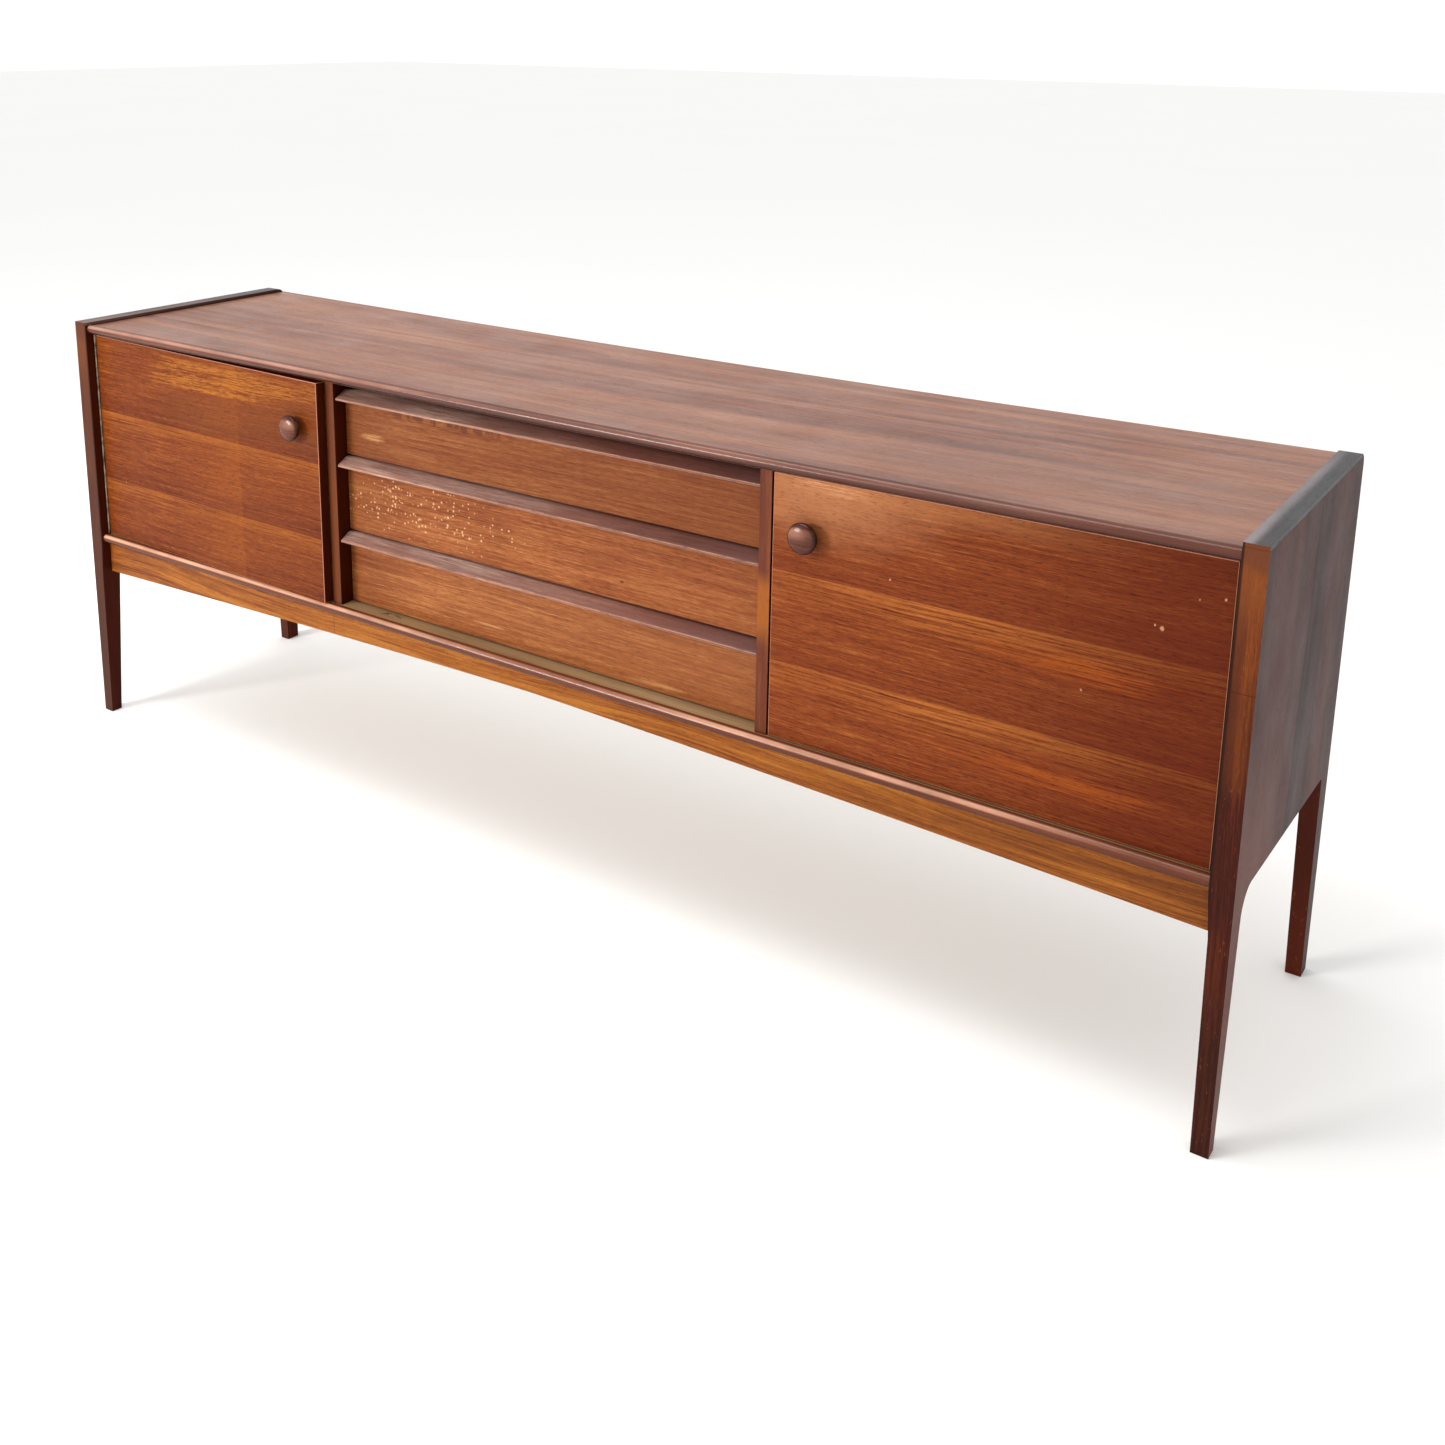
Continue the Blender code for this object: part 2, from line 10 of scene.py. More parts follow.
import bmesh
import bpy
from mathutils import Matrix, Vector

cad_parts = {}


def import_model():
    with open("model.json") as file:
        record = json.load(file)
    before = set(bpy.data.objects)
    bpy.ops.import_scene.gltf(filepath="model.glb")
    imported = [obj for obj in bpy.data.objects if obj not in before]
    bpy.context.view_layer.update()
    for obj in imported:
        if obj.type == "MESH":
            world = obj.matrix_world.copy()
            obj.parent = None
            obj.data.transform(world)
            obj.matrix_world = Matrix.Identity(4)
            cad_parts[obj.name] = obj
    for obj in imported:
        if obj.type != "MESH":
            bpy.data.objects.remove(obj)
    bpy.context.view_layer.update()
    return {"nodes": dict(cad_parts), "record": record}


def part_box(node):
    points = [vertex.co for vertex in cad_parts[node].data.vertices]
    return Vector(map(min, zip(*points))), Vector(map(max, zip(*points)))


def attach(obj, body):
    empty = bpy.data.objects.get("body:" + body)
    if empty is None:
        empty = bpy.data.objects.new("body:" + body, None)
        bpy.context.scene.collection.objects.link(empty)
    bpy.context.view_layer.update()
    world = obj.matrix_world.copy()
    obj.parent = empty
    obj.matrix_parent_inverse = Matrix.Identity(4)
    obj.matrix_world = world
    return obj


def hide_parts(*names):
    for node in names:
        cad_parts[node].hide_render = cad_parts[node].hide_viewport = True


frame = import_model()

NODES = frame["nodes"]
BODIES = frame["record"]["behaviour"]["bodies"]
BODY_OF = {node: body for body, nodes in BODIES.items() for node in nodes}

# ---------- sizes read from the frame
END_LOW, END_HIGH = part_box("right_end_board")
LIP_LOW, LIP_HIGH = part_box("right_end_lipping")
FRONT_Y = END_LOW.y
DEPTH = END_HIGH.y - END_LOW.y
END_OUTER = END_HIGH.x
END_THICK = END_HIGH.x - END_LOW.x
SEAM_Z = END_HIGH.z
HEIGHT = LIP_HIGH.z
STRIP_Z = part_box("bottom_board")[1].z
DOOR_TOP_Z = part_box("right_door")[1].z
MOULDING_TOP = [corner.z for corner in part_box("top_moulding")]
MOULDING_BOTTOM = [corner.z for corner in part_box("bottom_moulding")]
KNOB_LOW, KNOB_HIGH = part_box("right_knob")
KNOB_X = (KNOB_LOW.x + KNOB_HIGH.x) / 2.0
KNOB_Z = (KNOB_LOW.z + KNOB_HIGH.z) / 2.0

# ---------- shapes finer than the boxes
LEG_THICK_TOP = 0.0238
LEG_THICK_FOOT = 0.0205
TAPER_TOP_Z = 0.325
TAPER_MID_Z = 0.270
FRONT_LEG_DEPTH = 0.0365
FRONT_FOOT_DEPTH = 0.0195
REAR_LEG_DEPTH = 0.038
REAR_FOOT_DEPTH = 0.026
ARCH_FRONT_Z = 0.314
ARCH_REAR_Z = 0.297
ARCH_FRONT_R = 0.034
ARCH_REAR_R = 0.006
LIP_CORNER_R = 0.016
END_EASE = 0.0028  # rounding of the end boards' long edges
REAR_EASE = 0.0060  # rounding of their rear edges
REAR_EDGE_MIN = 0.04  # shortest rear edge that gets it
LIP_ROUND = 0.0055  # rounding of the lippings' inner top edges
LIP_ROUND_OUTER = LIP_ROUND * 0.7
LIP_ROUND_DOWN = 0.9  # share of the back corner down which the inner rounding runs
APRON_END_Z = 0.2695
APRON_RISE = 0.0249
APRON_CURVE = 1.3
APRON_STEPS = 96
MOULDING_ROWS = 120  # cross sections along a moulding
MOULDING_AROUND = 20  # facets over its half round
MOULDING_DIP = 0.00012  # how far its surface wavers
MOULDING_WAVES = (0.83, 0.31)
FACE_BACK = 0.0165  # front face of closed doors, behind the end boards' edge
DOOR_SINK = 0.002  # how far down from their tops the doors sink with the top,
HINGE_SINK = 0.004  # and their hinges
DOOR_EDGE_MIN = 0.010  # shortest door edge that is rounded
PULL_EDGE_MIN = 0.002
NOSE_EDGE_MIN = 0.1  # shortest edge of a pull's nose
NOSE_REACH = 0.0032  # how far back the nose goes
LEFT_DOOR_AJAR = math.radians(1.6)
LEFT_AXIS = Vector((-0.9697, FRONT_Y + 0.0155, 0.0))
LEAF_SEAMS = (0.570, 0.447)  # heights where one leaf of door veneer meets the next
TOP_HALF = 0.972  # half the length of the top, which has sunk between its ends
SAG_FRONT = 0.0034  # how far its front edge has sunk at the middle
SAG_SLOPE = 0.0038  # how much lower its right front corner is than its left
SAG_BACK = 0.0055  # how far its back edge has sunk at the middle
SAG_SKEW = 1.2  # over 1 moves the deepest place to the right
SAG_CUTS = 48  # bends along a board that has sunk
FACING = 0.7  # part of a face's normal along an axis that it faces along
NEAR = 0.0001  # what still counts as on a plane
MERGE = 0.00001
FLAT_WITHIN = math.radians(1.0)
SMOOTH_BELOW = math.radians(40)


# ---------- finishes: node helpers
def rgb(red, green, blue):
    """Linear colour of display values from 0 to 255."""
    out = []
    for value in (red, green, blue):
        value /= 255.0
        out.append(value / 12.92 if value <= 0.04045 else ((value + 0.055) / 1.055) ** 2.4)
    return (*out, 1.0)


def set_inputs(node, names, values):
    for name, value in zip(names, values):
        node.inputs[name].default_value = value


def smooth_step(nodes, *limits):
    """Smooth step node; the limits are those of its value, then of its result."""
    node = nodes.new("ShaderNodeMapRange")
    node.interpolation_type = "SMOOTHSTEP"
    set_inputs(node, ("From Min", "From Max", "To Min", "To Max"), limits)
    return node


class Finish:
    """One Principled material, with short calls that add nodes and join them."""

    def __init__(self, name):
        self.material = bpy.data.materials.new(name)
        self.material.use_nodes = True
        self.nodes = self.material.node_tree.nodes
        self.links = self.material.node_tree.links
        self.shader = self.nodes["Principled BSDF"]
        place = self.nodes.new("ShaderNodeTexCoord").outputs["Object"]
        split = self.nodes.new("ShaderNodeSeparateXYZ")
        self.links.new(place, split.inputs[0])
        self.x, self.y, self.z = split.outputs

    def join(self, value, socket):
        if isinstance(value, bpy.types.NodeSocket):
            self.links.new(value, socket)
        else:
            socket.default_value = value

    def maths(self, operation, a, b=0.0):
        node = self.nodes.new("ShaderNodeMath")
        node.operation = operation
        self.join(a, node.inputs[0])
        self.join(b, node.inputs[1])
        return node.outputs[0]

    def add(self, a, b):
        return self.maths("ADD", a, b)

    def times(self, a, b):
        return self.maths("MULTIPLY", a, b)

    def minus(self, a, b):
        return self.maths("SUBTRACT", a, b)

    def absolute(self, a):
        return self.maths("ABSOLUTE", a)

    def about(self, noise, amount):
        """A noise about 0.5 as an amount either side of 0."""
        return self.times(self.minus(noise, 0.5), amount)

    def vector(self, x, y, z):
        node = self.nodes.new("ShaderNodeCombineXYZ")
        for value, socket in zip((x, y, z), node.inputs):
            self.join(value, socket)
        return node.outputs[0]

    def scaled(self, *scales):
        """The place in the object's own frame, scaled along each axis; 0 leaves it out."""
        pairs = zip((self.x, self.y, self.z), scales)
        return self.vector(*(self.times(place, scale) if scale else 0.0 for place, scale in pairs))

    def noise(self, vector, detail=2.0, roughness=0.5):
        node = self.nodes.new("ShaderNodeTexNoise")
        set_inputs(node, ("Scale", "Detail", "Roughness"), (1.0, detail, roughness))
        self.links.new(vector, node.inputs["Vector"])
        return node.outputs["Fac"]

    def rise(self, value, low, high, bottom=0.0, top=1.0):
        """Smooth step from bottom to top as the value goes from low to high."""
        node = smooth_step(self.nodes, low, high, bottom, top)
        self.join(value, node.inputs["Value"])
        return node.outputs["Result"]

    def mix(self, share, a, b, blend="MIX"):
        node = self.nodes.new("ShaderNodeMix")
        node.data_type = "RGBA"
        node.blend_type = blend
        self.join(share, node.inputs[0])
        self.join(a, node.inputs[6])
        self.join(b, node.inputs[7])
        return node.outputs[2]

    def over(self, colour, share, part, *display):
        """Lay part of a display colour over another, where share is 1."""
        return self.mix(self.times(share, part), colour, rgb(*display))

    def ramp(self, value, *shades, at=(0.25, 0.50, 0.78)):
        """Display colours in turn as a value passes the positions at."""
        node = self.nodes.new("ShaderNodeValToRGB")
        node.color_ramp.interpolation = "EASE"
        elements = node.color_ramp.elements
        while len(elements) < len(shades):
            elements.new(0.5)
        for element, position, shade in zip(elements, at, shades):
            element.position = position
            element.color = rgb(*shade)
        self.join(value, node.inputs[0])
        return node.outputs[0]

    def spot(self, centre, reach, edge=0.35, ragged=0.5, detail_scale=60.0):
        """Soft ragged patch: 1 inside an ellipsoid about a place, 0 outside it."""
        parts = []
        for value, middle, radius in zip((self.x, self.y, self.z), centre, reach):
            away = self.times(self.minus(value, middle), 1.0 / radius)
            parts.append(self.times(away, away))
        far = self.maths("SQRT", self.add(self.add(parts[0], parts[1]), parts[2]))
        grainy = self.noise(self.scaled(detail_scale * 0.3, 0.0, detail_scale), 3.0)
        far = self.add(far, self.about(grainy, ragged))
        return self.rise(far, 1.0, 1.0 - edge)

    def close(self, colour, roughness, height=None, depth=0.0002):
        """Join colour, roughness and bump to the shader, and return the material."""
        self.join(colour, self.shader.inputs["Base Color"])
        self.join(roughness, self.shader.inputs["Roughness"])
        if height is not None:
            bump = self.nodes.new("ShaderNodeBump")
            set_inputs(bump, ("Strength", "Distance"), (0.5, depth))
            self.links.new(height, bump.inputs["Height"])
            self.links.new(bump.outputs[0], self.shader.inputs["Normal"])
        return self.material


class Wood(Finish):
    """Wood with grain running along one axis: broad figure, fine lines, fibres and pores."""

    def __init__(self, name, along, across, figure, seed=0.0):
        super().__init__(name)
        axes = {"x": self.x, "y": self.y, "z": self.z}
        self.along = self.add(axes[along], seed)
        self.across = axes[across]
        self.depth = axes[({"x", "y", "z"} - {along, across}).pop()]
        self.figure = figure

    def grain(self):
        """Figure value about 0.5, and the pore and fibre values, from the grain's axes."""
        drift = self.noise(self.stretched(1.6, 6.0, 6.0), 2.0)
        self.across = self.add(self.across, self.about(drift, 0.030 * self.figure))
        self.band = self.noise(self.stretched(1.1, 46.0, 20.0), 3.0, 0.6)
        self.line = self.noise(self.stretched(7.0, 330.0, 60.0), 3.0, 0.7)
        self.fibre = self.noise(self.stretched(55.0, 800.0, 300.0), 3.0, 0.7)
        self.pore = self.rise(self.noise(self.stretched(95.0, 950.0, 500.0), 2.0, 0.6), 0.56, 0.68)
        self.mottle = self.noise(self.stretched(3.0, 11.0, 9.0), 3.0, 0.55)
        return self

    def stretched(self, along, across, depth):
        """The place along, across and into the grain, scaled each way."""
        pairs = ((self.along, along), (self.across, across), (self.depth, depth))
        return self.vector(*(self.times(place, scale) for place, scale in pairs))

    def figure_value(self, band, line, fibre, mottle):
        """How light the wood is, about 0.5, from its bands, lines, fibres and mottle."""
        total = self.about(self.band, band)
        total = self.add(total, self.about(self.line, line))
        total = self.add(total, self.about(self.fibre, fibre))
        total = self.add(total, self.about(self.mottle, mottle))
        return self.add(total, 0.5)

    def tinted(self, colour, pores=0.45):
        """Darken the pores in a colour."""
        share = self.times(self.pore, pores)
        return self.mix(share, colour, self.mix(1.0, colour, (0.30, 0.22, 0.20, 1), "MULTIPLY"))

    def closed(self, colour, gloss, spread=0.25, depth=0.00012, tint=None, sheen=0.2):
        """Finish the wood: tint multiplies its colour, sheen is how much it reflects."""
        if tint is not None:
            colour = self.mix(1.0, colour, (*tint, 1.0), "MULTIPLY")
        self.shader.inputs["Specular IOR Level"].default_value = sheen
        smudge = self.noise(self.stretched(9.0, 14.0, 12.0), 3.0, 0.6)
        rough = self.add(gloss, self.about(smudge, spread))
        rough = self.add(rough, self.times(self.pore, 0.12))
        height = self.add(self.times(self.fibre, 0.6), self.times(self.line, 0.5))
        height = self.minus(height, self.times(self.pore, 0.9))
        return self.close(colour, rough, height, depth)


# ---------- finishes: woods
def door_wood(name, side):
    """Door veneer in three slip-matched leaves, each golden at its top and redder below."""
    f = Wood(name, "x", "z", 0.8)
    seam_1, seam_2 = LEAF_SEAMS
    below_1 = f.rise(f.z, seam_1 + 0.0002, seam_1 - 0.0002)
    below_2 = f.rise(f.z, seam_2 + 0.0002, seam_2 - 0.0002)
    leaf_top = f.minus(DOOR_TOP_Z, f.times(below_1, DOOR_TOP_Z - seam_1))
    leaf_top = f.minus(leaf_top, f.times(below_2, seam_1 - seam_2))
    down = f.minus(leaf_top, f.z)
    f.across = f.add(down, f.times(f.add(below_1, below_2), 0.013))
    f.grain()
    value = f.figure_value(0.45, 0.95, 0.90, 0.50)
    at = (0.20, 0.42, 0.58, 0.80)
    colour = f.ramp(value, (102, 44, 22), (138, 68, 35), (156, 84, 45), (188, 116, 66), at=at)
    wavy_down = f.add(down, f.about(f.mottle, 0.05))
    lower_leaf = f.rise(wavy_down, 0.060, 0.125)
    colour = f.over(colour, lower_leaf, 0.15 if side < 0 else 0.35, 116, 46, 24)
    golden = f.times(f.rise(wavy_down, 0.042, 0.0), below_1)
    golden = f.times(golden, f.rise(f.line, 0.35, 0.60))
    golden = f.times(golden, f.rise(f.x, 0.45, 0.66, 0.40, 1.0) if side > 0 else 0.7)
    colour = f.over(colour, golden, 0.85, 202, 128, 68)
    seam = f.rise(f.absolute(f.minus(f.z, seam_1)), 0.0012, 0.0003)
    seam_low = f.rise(f.absolute(f.minus(f.z, seam_2)), 0.0012, 0.0003)
    colour = f.over(colour, f.add(seam, seam_low), 0.35, 206, 136, 76)
    marks = left_door_marks if side < 0 else right_door_marks
    colour = marks(f, colour)
    tint = (0.47, 0.375, 0.155) if side < 0 else (0.565, 0.475, 0.31)
    return f.closed(f.tinted(colour, 0.65), 0.40, sheen=0.07, tint=tint)


def left_door_marks(f, colour):
    """A golden faded patch, a join across the veneer and a few chips."""
    break_x = -0.594
    left_of = f.rise(f.x, break_x + 0.0006, break_x - 0.0006)
    near = f.times(f.rise(f.x, -0.78, break_x), left_of)
    colour = f.over(colour, near, 0.22, 190, 112, 50)
    right_of = f.times(f.minus(1.0, left_of), f.rise(f.x, -0.42, break_x))
    colour = f.over(colour, right_of, 0.10, 130, 70, 46)
    streaky = f.rise(f.add(f.line, f.about(f.fibre, 0.9)), 0.40, 0.62)
    lower = f.add(0.640, f.times(f.rise(f.x, -0.60, -0.41), 0.022))
    lower = f.add(lower, f.about(f.mottle, 0.016))
    faded = f.rise(f.minus(f.z, lower), 0.0, 0.004)
    faded = f.times(faded, f.rise(f.z, 0.700, 0.684))
    faded = f.times(faded, f.rise(f.add(f.x, f.times(f.mottle, 0.10)), -0.775, -0.700))
    golden = f.times(f.times(faded, streaky), f.rise(f.x, -0.44, -0.60, 0.55, 1.0))
    colour = f.over(colour, golden, 0.85, 214, 146, 78)
    grey = f.times(f.rise(f.z, 0.572, 0.590), f.rise(f.minus(lower, f.z), 0.0, 0.006))
    grey = f.times(grey, f.rise(f.x, -0.86, -0.74))
    colour = f.over(colour, grey, 0.35, 134, 78, 54)
    return chipped(f, colour, ((-0.7097, 0.6554, 0.0022), (-0.9093, 0.4476, 0.0020)))


def right_door_marks(f, colour):
    """Lighter at the upper left and along the top as painted highlight, deeper to the right as
    painted shade, with gold streaks and pale chips.
    """
    # painted highlight where the light falls on the door's upper left and along its top
    upper = f.spot((0.47, -0.2, 0.69), (0.22, 0.3, 0.10), 0.9, 0.4)
    colour = f.over(colour, upper, 0.58, 222, 164, 138)
    along_top = f.times(f.rise(f.z, 0.664, 0.690), f.rise(f.x, 0.93, 0.70))
    colour = f.over(colour, along_top, 0.40, 212, 148, 112)
    brushed = f.spot((0.485, -0.2, 0.690), (0.075, 0.3, 0.014), 0.9, 0.9, 120.0)
    brushed = f.times(brushed, f.rise(f.add(f.line, f.about(f.fibre, 0.9)), 0.44, 0.66))
    colour = f.over(colour, brushed, 0.75, 252, 198, 172)
    # painted shade towards the right edge
    right = f.rise(f.x, 0.60, 0.95)
    colour = f.over(colour, right, 0.68, 98, 29, 8)
    for x, z, half_length in ((0.80, 0.535, 0.17), (0.78, 0.395, 0.20)):
        patch = f.spot((x, -0.2, z), (half_length, 0.3, 0.024), 0.9, 0.9)
        streak = f.times(patch, f.rise(f.line, 0.38, 0.60))
        colour = f.over(colour, streak, 0.65, 186, 98, 34)
    chips = (
        (0.8934, 0.6065, 0.0036), (0.8856, 0.6092, 0.0018), (0.9304, 0.6483, 0.0014),
        (0.9570, 0.6543, 0.0022), (0.5673, 0.5909, 0.0020), (0.8096, 0.5130, 0.0020),
    )
    return chipped(f, colour, chips)


def chipped(f, colour, places):
    """Small pale chips at (x, z, radius)."""
    for x, z, radius in places:
        chip = f.spot((x, -0.2, z), (radius * 0.8, 0.2, radius), 0.5, 1.3, 700.0)
        colour = f.over(colour, chip, 0.85, 226, 178, 150)
    return colour


def drawer_wood(name):
    """Drawer fronts: light even teak, speckled, rubbed and run over by a few dark drips."""
    f = Wood(name, "x", "z", 0.5, 3.7).grain()
    value = f.figure_value(0.35, 1.25, 1.10, 0.50)
    at = (0.20, 0.45, 0.62, 0.82)
    colour = f.ramp(value, (122, 60, 32), (156, 86, 50), (176, 106, 66), (200, 134, 90), at=at)
    right = f.rise(f.x, -0.05, 0.36)
    colour = f.over(colour, right, 0.35, 148, 78, 46)
    # painted shade under the top: the top drawer darker
    colour = f.mix(f.rise(f.z, 0.570, 0.585, 0.0, 0.42), colour, rgb(112, 56, 28))
    # painted light: the lowest drawer lighter
    lowest = f.times(f.rise(f.z, 0.465, 0.450), f.rise(f.x, -0.35, -0.05, 0.0, 0.10))
    colour = f.mix(lowest, colour, rgb(222, 160, 116))
    # painted shade beside the left divider
    colour = f.mix(f.rise(f.x, -0.20, -0.37, 0.0, 0.35), colour, rgb(124, 66, 38))
    colour = pale_speckles(f, colour)
    for centre, reach in (
        ((-0.322, -0.18, 0.6175), (0.034, 0.2, 0.0075)),
        ((0.21, -0.18, 0.3530), (0.060, 0.2, 0.0050)),
    ):
        worn = f.times(f.spot(centre, reach, 0.7, 1.0, 300.0), f.rise(f.line, 0.35, 0.55))
        colour = f.over(colour, worn, 0.75, 222, 164, 122)
    gouge = f.spot((-0.091, -0.18, 0.3672), (0.040, 0.2, 0.0026), 0.6, 0.7, 200.0)
    colour = f.over(colour, gouge, 0.75, 214, 152, 112)
    knot = f.spot((0.1501, -0.18, 0.4891), (0.005, 0.2, 0.0022), 0.6, 0.5, 200.0)
    colour = f.over(colour, knot, 0.8, 84, 34, 14)
    runs = f.noise(f.scaled(75.0, 0.0, 5.0), 2.0, 0.6)
    ends = f.add(0.659, f.about(f.noise(f.scaled(40.0, 0.0, 0.0)), 0.022))
    drips = f.times(f.rise(runs, 0.42, 0.56), f.rise(f.minus(f.z, ends), -0.004, 0.002))
    drips = f.times(f.times(drips, f.rise(f.x, 0.0, -0.10)), f.rise(f.x, -0.31, -0.26))
    colour = f.over(colour, drips, 0.65, 92, 44, 26)
    return f.closed(f.tinted(colour, 0.45), 0.43, sheen=0.10, tint=(0.63, 0.60, 0.44))


def pale_speckles(f, colour):
    """Splashes on the middle drawer that have left pale dots, densest at its left."""
    node = f.nodes.new("ShaderNodeTexVoronoi")
    node.feature = "F1"
    set_inputs(node, ("Scale", "Randomness"), (1.0, 1.0))
    f.links.new(f.scaled(170.0, 0.0, 170.0), node.inputs["Vector"])
    size = f.noise(f.vector(f.times(f.x, 90.0), 1.7, f.times(f.z, 90.0)), 1.0)
    dots = f.rise(f.add(node.outputs["Distance"], f.times(size, 0.5)), 0.60, 0.42)
    split = f.nodes.new("ShaderNodeSeparateColor")
    f.links.new(node.outputs["Color"], split.inputs[0])
    area = f.spot((-0.215, -0.18, 0.515), (0.230, 0.2, 0.060), 0.8, 0.8, 40.0)
    clumps = f.rise(f.noise(f.scaled(16.0, 0.0, 24.0), 2.0), 0.35, 0.55)
    crowd = f.times(area, f.add(0.30, f.times(clumps, 0.45)))
    chosen = f.rise(f.add(split.outputs[0], crowd), 0.98, 1.04)
    share = f.times(f.times(dots, chosen), f.rise(area, 0.0, 0.35))
    return f.over(colour, share, 0.75, 250, 202, 168)


def top_wood(name):
    """Top board: dusty brown with broad figure, a knot line and painted shade in the groove at its
    front.
    """
    f = Wood(name, "x", "y", 0.9, 9.1).grain()
    value = f.figure_value(1.15, 1.0, 0.6, 0.6)
    at = (0.22, 0.45, 0.60, 0.80)
    colour = f.ramp(value, (108, 60, 46), (144, 92, 70), (164, 110, 84), (188, 138, 106), at=at)
    knot_line = f.spot((0.46, 0.125, 0.72), (0.16, 0.004, 0.3), 0.7, 0.9)
    colour = f.over(colour, knot_line, 0.5, 92, 54, 40)
    dusty = f.noise(f.stretched(2.2, 6.0, 5.0), 3.0, 0.6)
    colour = f.mix(f.rise(dusty, 0.35, 0.75, 0.10, 0.45), colour, rgb(178, 146, 134))
    # painted shade in the crease between the top and its moulding
    groove = f.rise(f.y, FRONT_Y + 0.0150, FRONT_Y + 0.0135)
    colour = f.over(colour, groove, 0.75, 52, 28, 20)
    return f.closed(f.tinted(colour, 0.35), 0.40, 0.3, sheen=0.30, tint=(0.57, 0.43, 0.31))


def side_wood(name, side):
    """Outer faces of the end boards: grey brown, upright grain, a few dark streaks."""
    f = Wood(name, "z", "y", 0.8, 1.3 * side).grain()
    broad = f.noise(f.stretched(0.9, 17.0, 3.0), 1.5)
    value = f.add(f.figure_value(0.25, 0.10, 0.10, 0.45), f.about(broad, 1.1))
    colour = f.ramp(value, (70, 47, 43), (90, 65, 60), (108, 83, 78), at=(0.25, 0.50, 0.75))
    colour = f.mix(f.rise(f.y, 0.0, 0.22, 0.0, 0.45), colour, rgb(66, 40, 34))
    front_low = f.times(f.rise(f.z, 0.52, 0.34), f.rise(f.y, 0.02, -0.16))
    colour = f.over(colour, front_low, 0.6, 138, 112, 106)
    for y, slope, width in ((0.045, 0.16, 0.014), (0.012, 0.05, 0.006)):
        y *= side
        line = f.add(y, f.times(f.minus(f.z, 0.54), slope * side))
        wander = f.about(f.noise(f.vector(f.times(f.z, 9.0), y * 40.0, 0.0), 2.0), 0.016)
        near = f.absolute(f.minus(f.minus(f.y, line), wander))
        streak = f.times(f.rise(near, width * 1.6, width * 0.3), f.rise(f.mottle, 0.25, 0.40))
        colour = f.over(colour, streak, 0.85 if side > 0 else 0.35, 40, 22, 18)
    return f.closed(colour, 0.45, 0.22, sheen=0.07, tint=(0.66, 0.325, 0.245))


def edge_wood(name):
    """Front and arch edges of the end boards: orange brown above, dark red brown on the legs."""
    f = Wood(name, "z", "x", 1.0, 5.5).grain()
    value = f.figure_value(1.1, 1.0, 0.7, 0.8)
    upper = f.ramp(value, (104, 52, 26), (134, 78, 42), (166, 102, 54))
    lower = f.ramp(value, (58, 20, 9), (82, 34, 18), (112, 56, 36))
    inner = f.absolute(f.add(f.x, f.about(f.band, 0.012)))
    inner = f.rise(inner, END_OUTER - 0.012, END_OUTER - 0.018)
    upper = f.mix(f.times(inner, 0.60), upper, rgb(112, 66, 54))
    height = f.add(f.z, f.about(f.mottle, 0.05))
    upper = f.mix(f.rise(height, 0.600, 0.540, 0.0, 0.40), upper, rgb(84, 38, 16))
    upper = f.mix(f.rise(height, 0.600, 0.690, 0.0, 0.5), upper, rgb(190, 128, 84))
    # painted highlight at the top end of the front edge
    upper = f.mix(f.rise(height, 0.690, 0.705), upper, rgb(140, 92, 80))
    lower = f.mix(f.rise(height, 0.26, 0.14, 0.0, 0.45), lower, rgb(34, 14, 9))
    lower = f.mix(f.rise(f.y, 0.05, 0.15, 0.0, 0.45), lower, rgb(134, 60, 34))
    colour = f.mix(f.rise(height, 0.425, 0.475), lower, upper)
    joint = f.rise(f.absolute(f.minus(f.z, 0.561)), 0.0012, 0.0004)
    colour = f.over(colour, joint, f.rise(f.x, 0.0, 0.1, 0.0, 0.45), 70, 34, 20)
    scuff = f.noise(f.scaled(300.0, 300.0, 90.0), 3.0, 0.7)
    scuff = f.rise(f.add(scuff, f.rise(f.z, 0.20, 0.04, 0.0, 0.035)), 0.64, 0.72)
    colour = f.over(colour, scuff, 0.40, 178, 140, 112)
    colour = f.mix(f.rise(f.x, 0.0, -0.1, 0.0, 0.55), colour, rgb(104, 66, 56))
    # painted shade of the gap beside the doors, along the inner front margin
    shaded = f.rise(f.absolute(f.x), END_OUTER - 0.0243, END_OUTER - 0.0262)
    shaded = f.times(shaded, f.rise(f.y, FRONT_Y + 0.030, FRONT_Y + 0.020))
    colour = f.over(colour, shaded, 0.85, 44, 22, 14)
    return f.closed(f.tinted(colour, 0.3), 0.40, 0.25, sheen=0.10, tint=(0.43, 0.28, 0.13))


def inner_face_wood(name):
    """Inner faces of the end boards and dividers, in deep red brown darkened as painted shade."""
    f = Wood(name, "z", "y", 0.7, 2.2).grain()
    colour = f.ramp(f.figure_value(0.6, 0.5, 0.25, 0.5), (54, 20, 10), (76, 32, 18), (100, 48, 28))
    return f.closed(f.tinted(colour, 0.3), 0.42, sheen=0.05, tint=(0.62, 0.42, 0.26))


def divider_wood(name):
    """Front edges of the dividers: red brown with a golden stretch at mid height."""
    f = Wood(name, "z", "x", 1.0, 7.7).grain()
    colour = f.ramp(f.figure_value(0.8, 0.5, 0.25, 0.7), (96, 44, 24), (130, 68, 42), (158, 96, 62))
    middle = f.add(f.z, f.about(f.mottle, 0.04))
    golden = f.times(f.rise(middle, 0.46, 0.50), f.rise(middle, 0.572, 0.540))
    colour = f.over(colour, golden, f.rise(f.x, 0.0, 0.3, 0.1, 0.85), 208, 132, 44)
    colour = f.mix(f.rise(f.x, 0.0, -0.1, 0.0, 0.3), colour, rgb(160, 108, 72))
    return f.closed(f.tinted(colour, 0.3), 0.42, sheen=0.15, tint=(0.43, 0.32, 0.22))


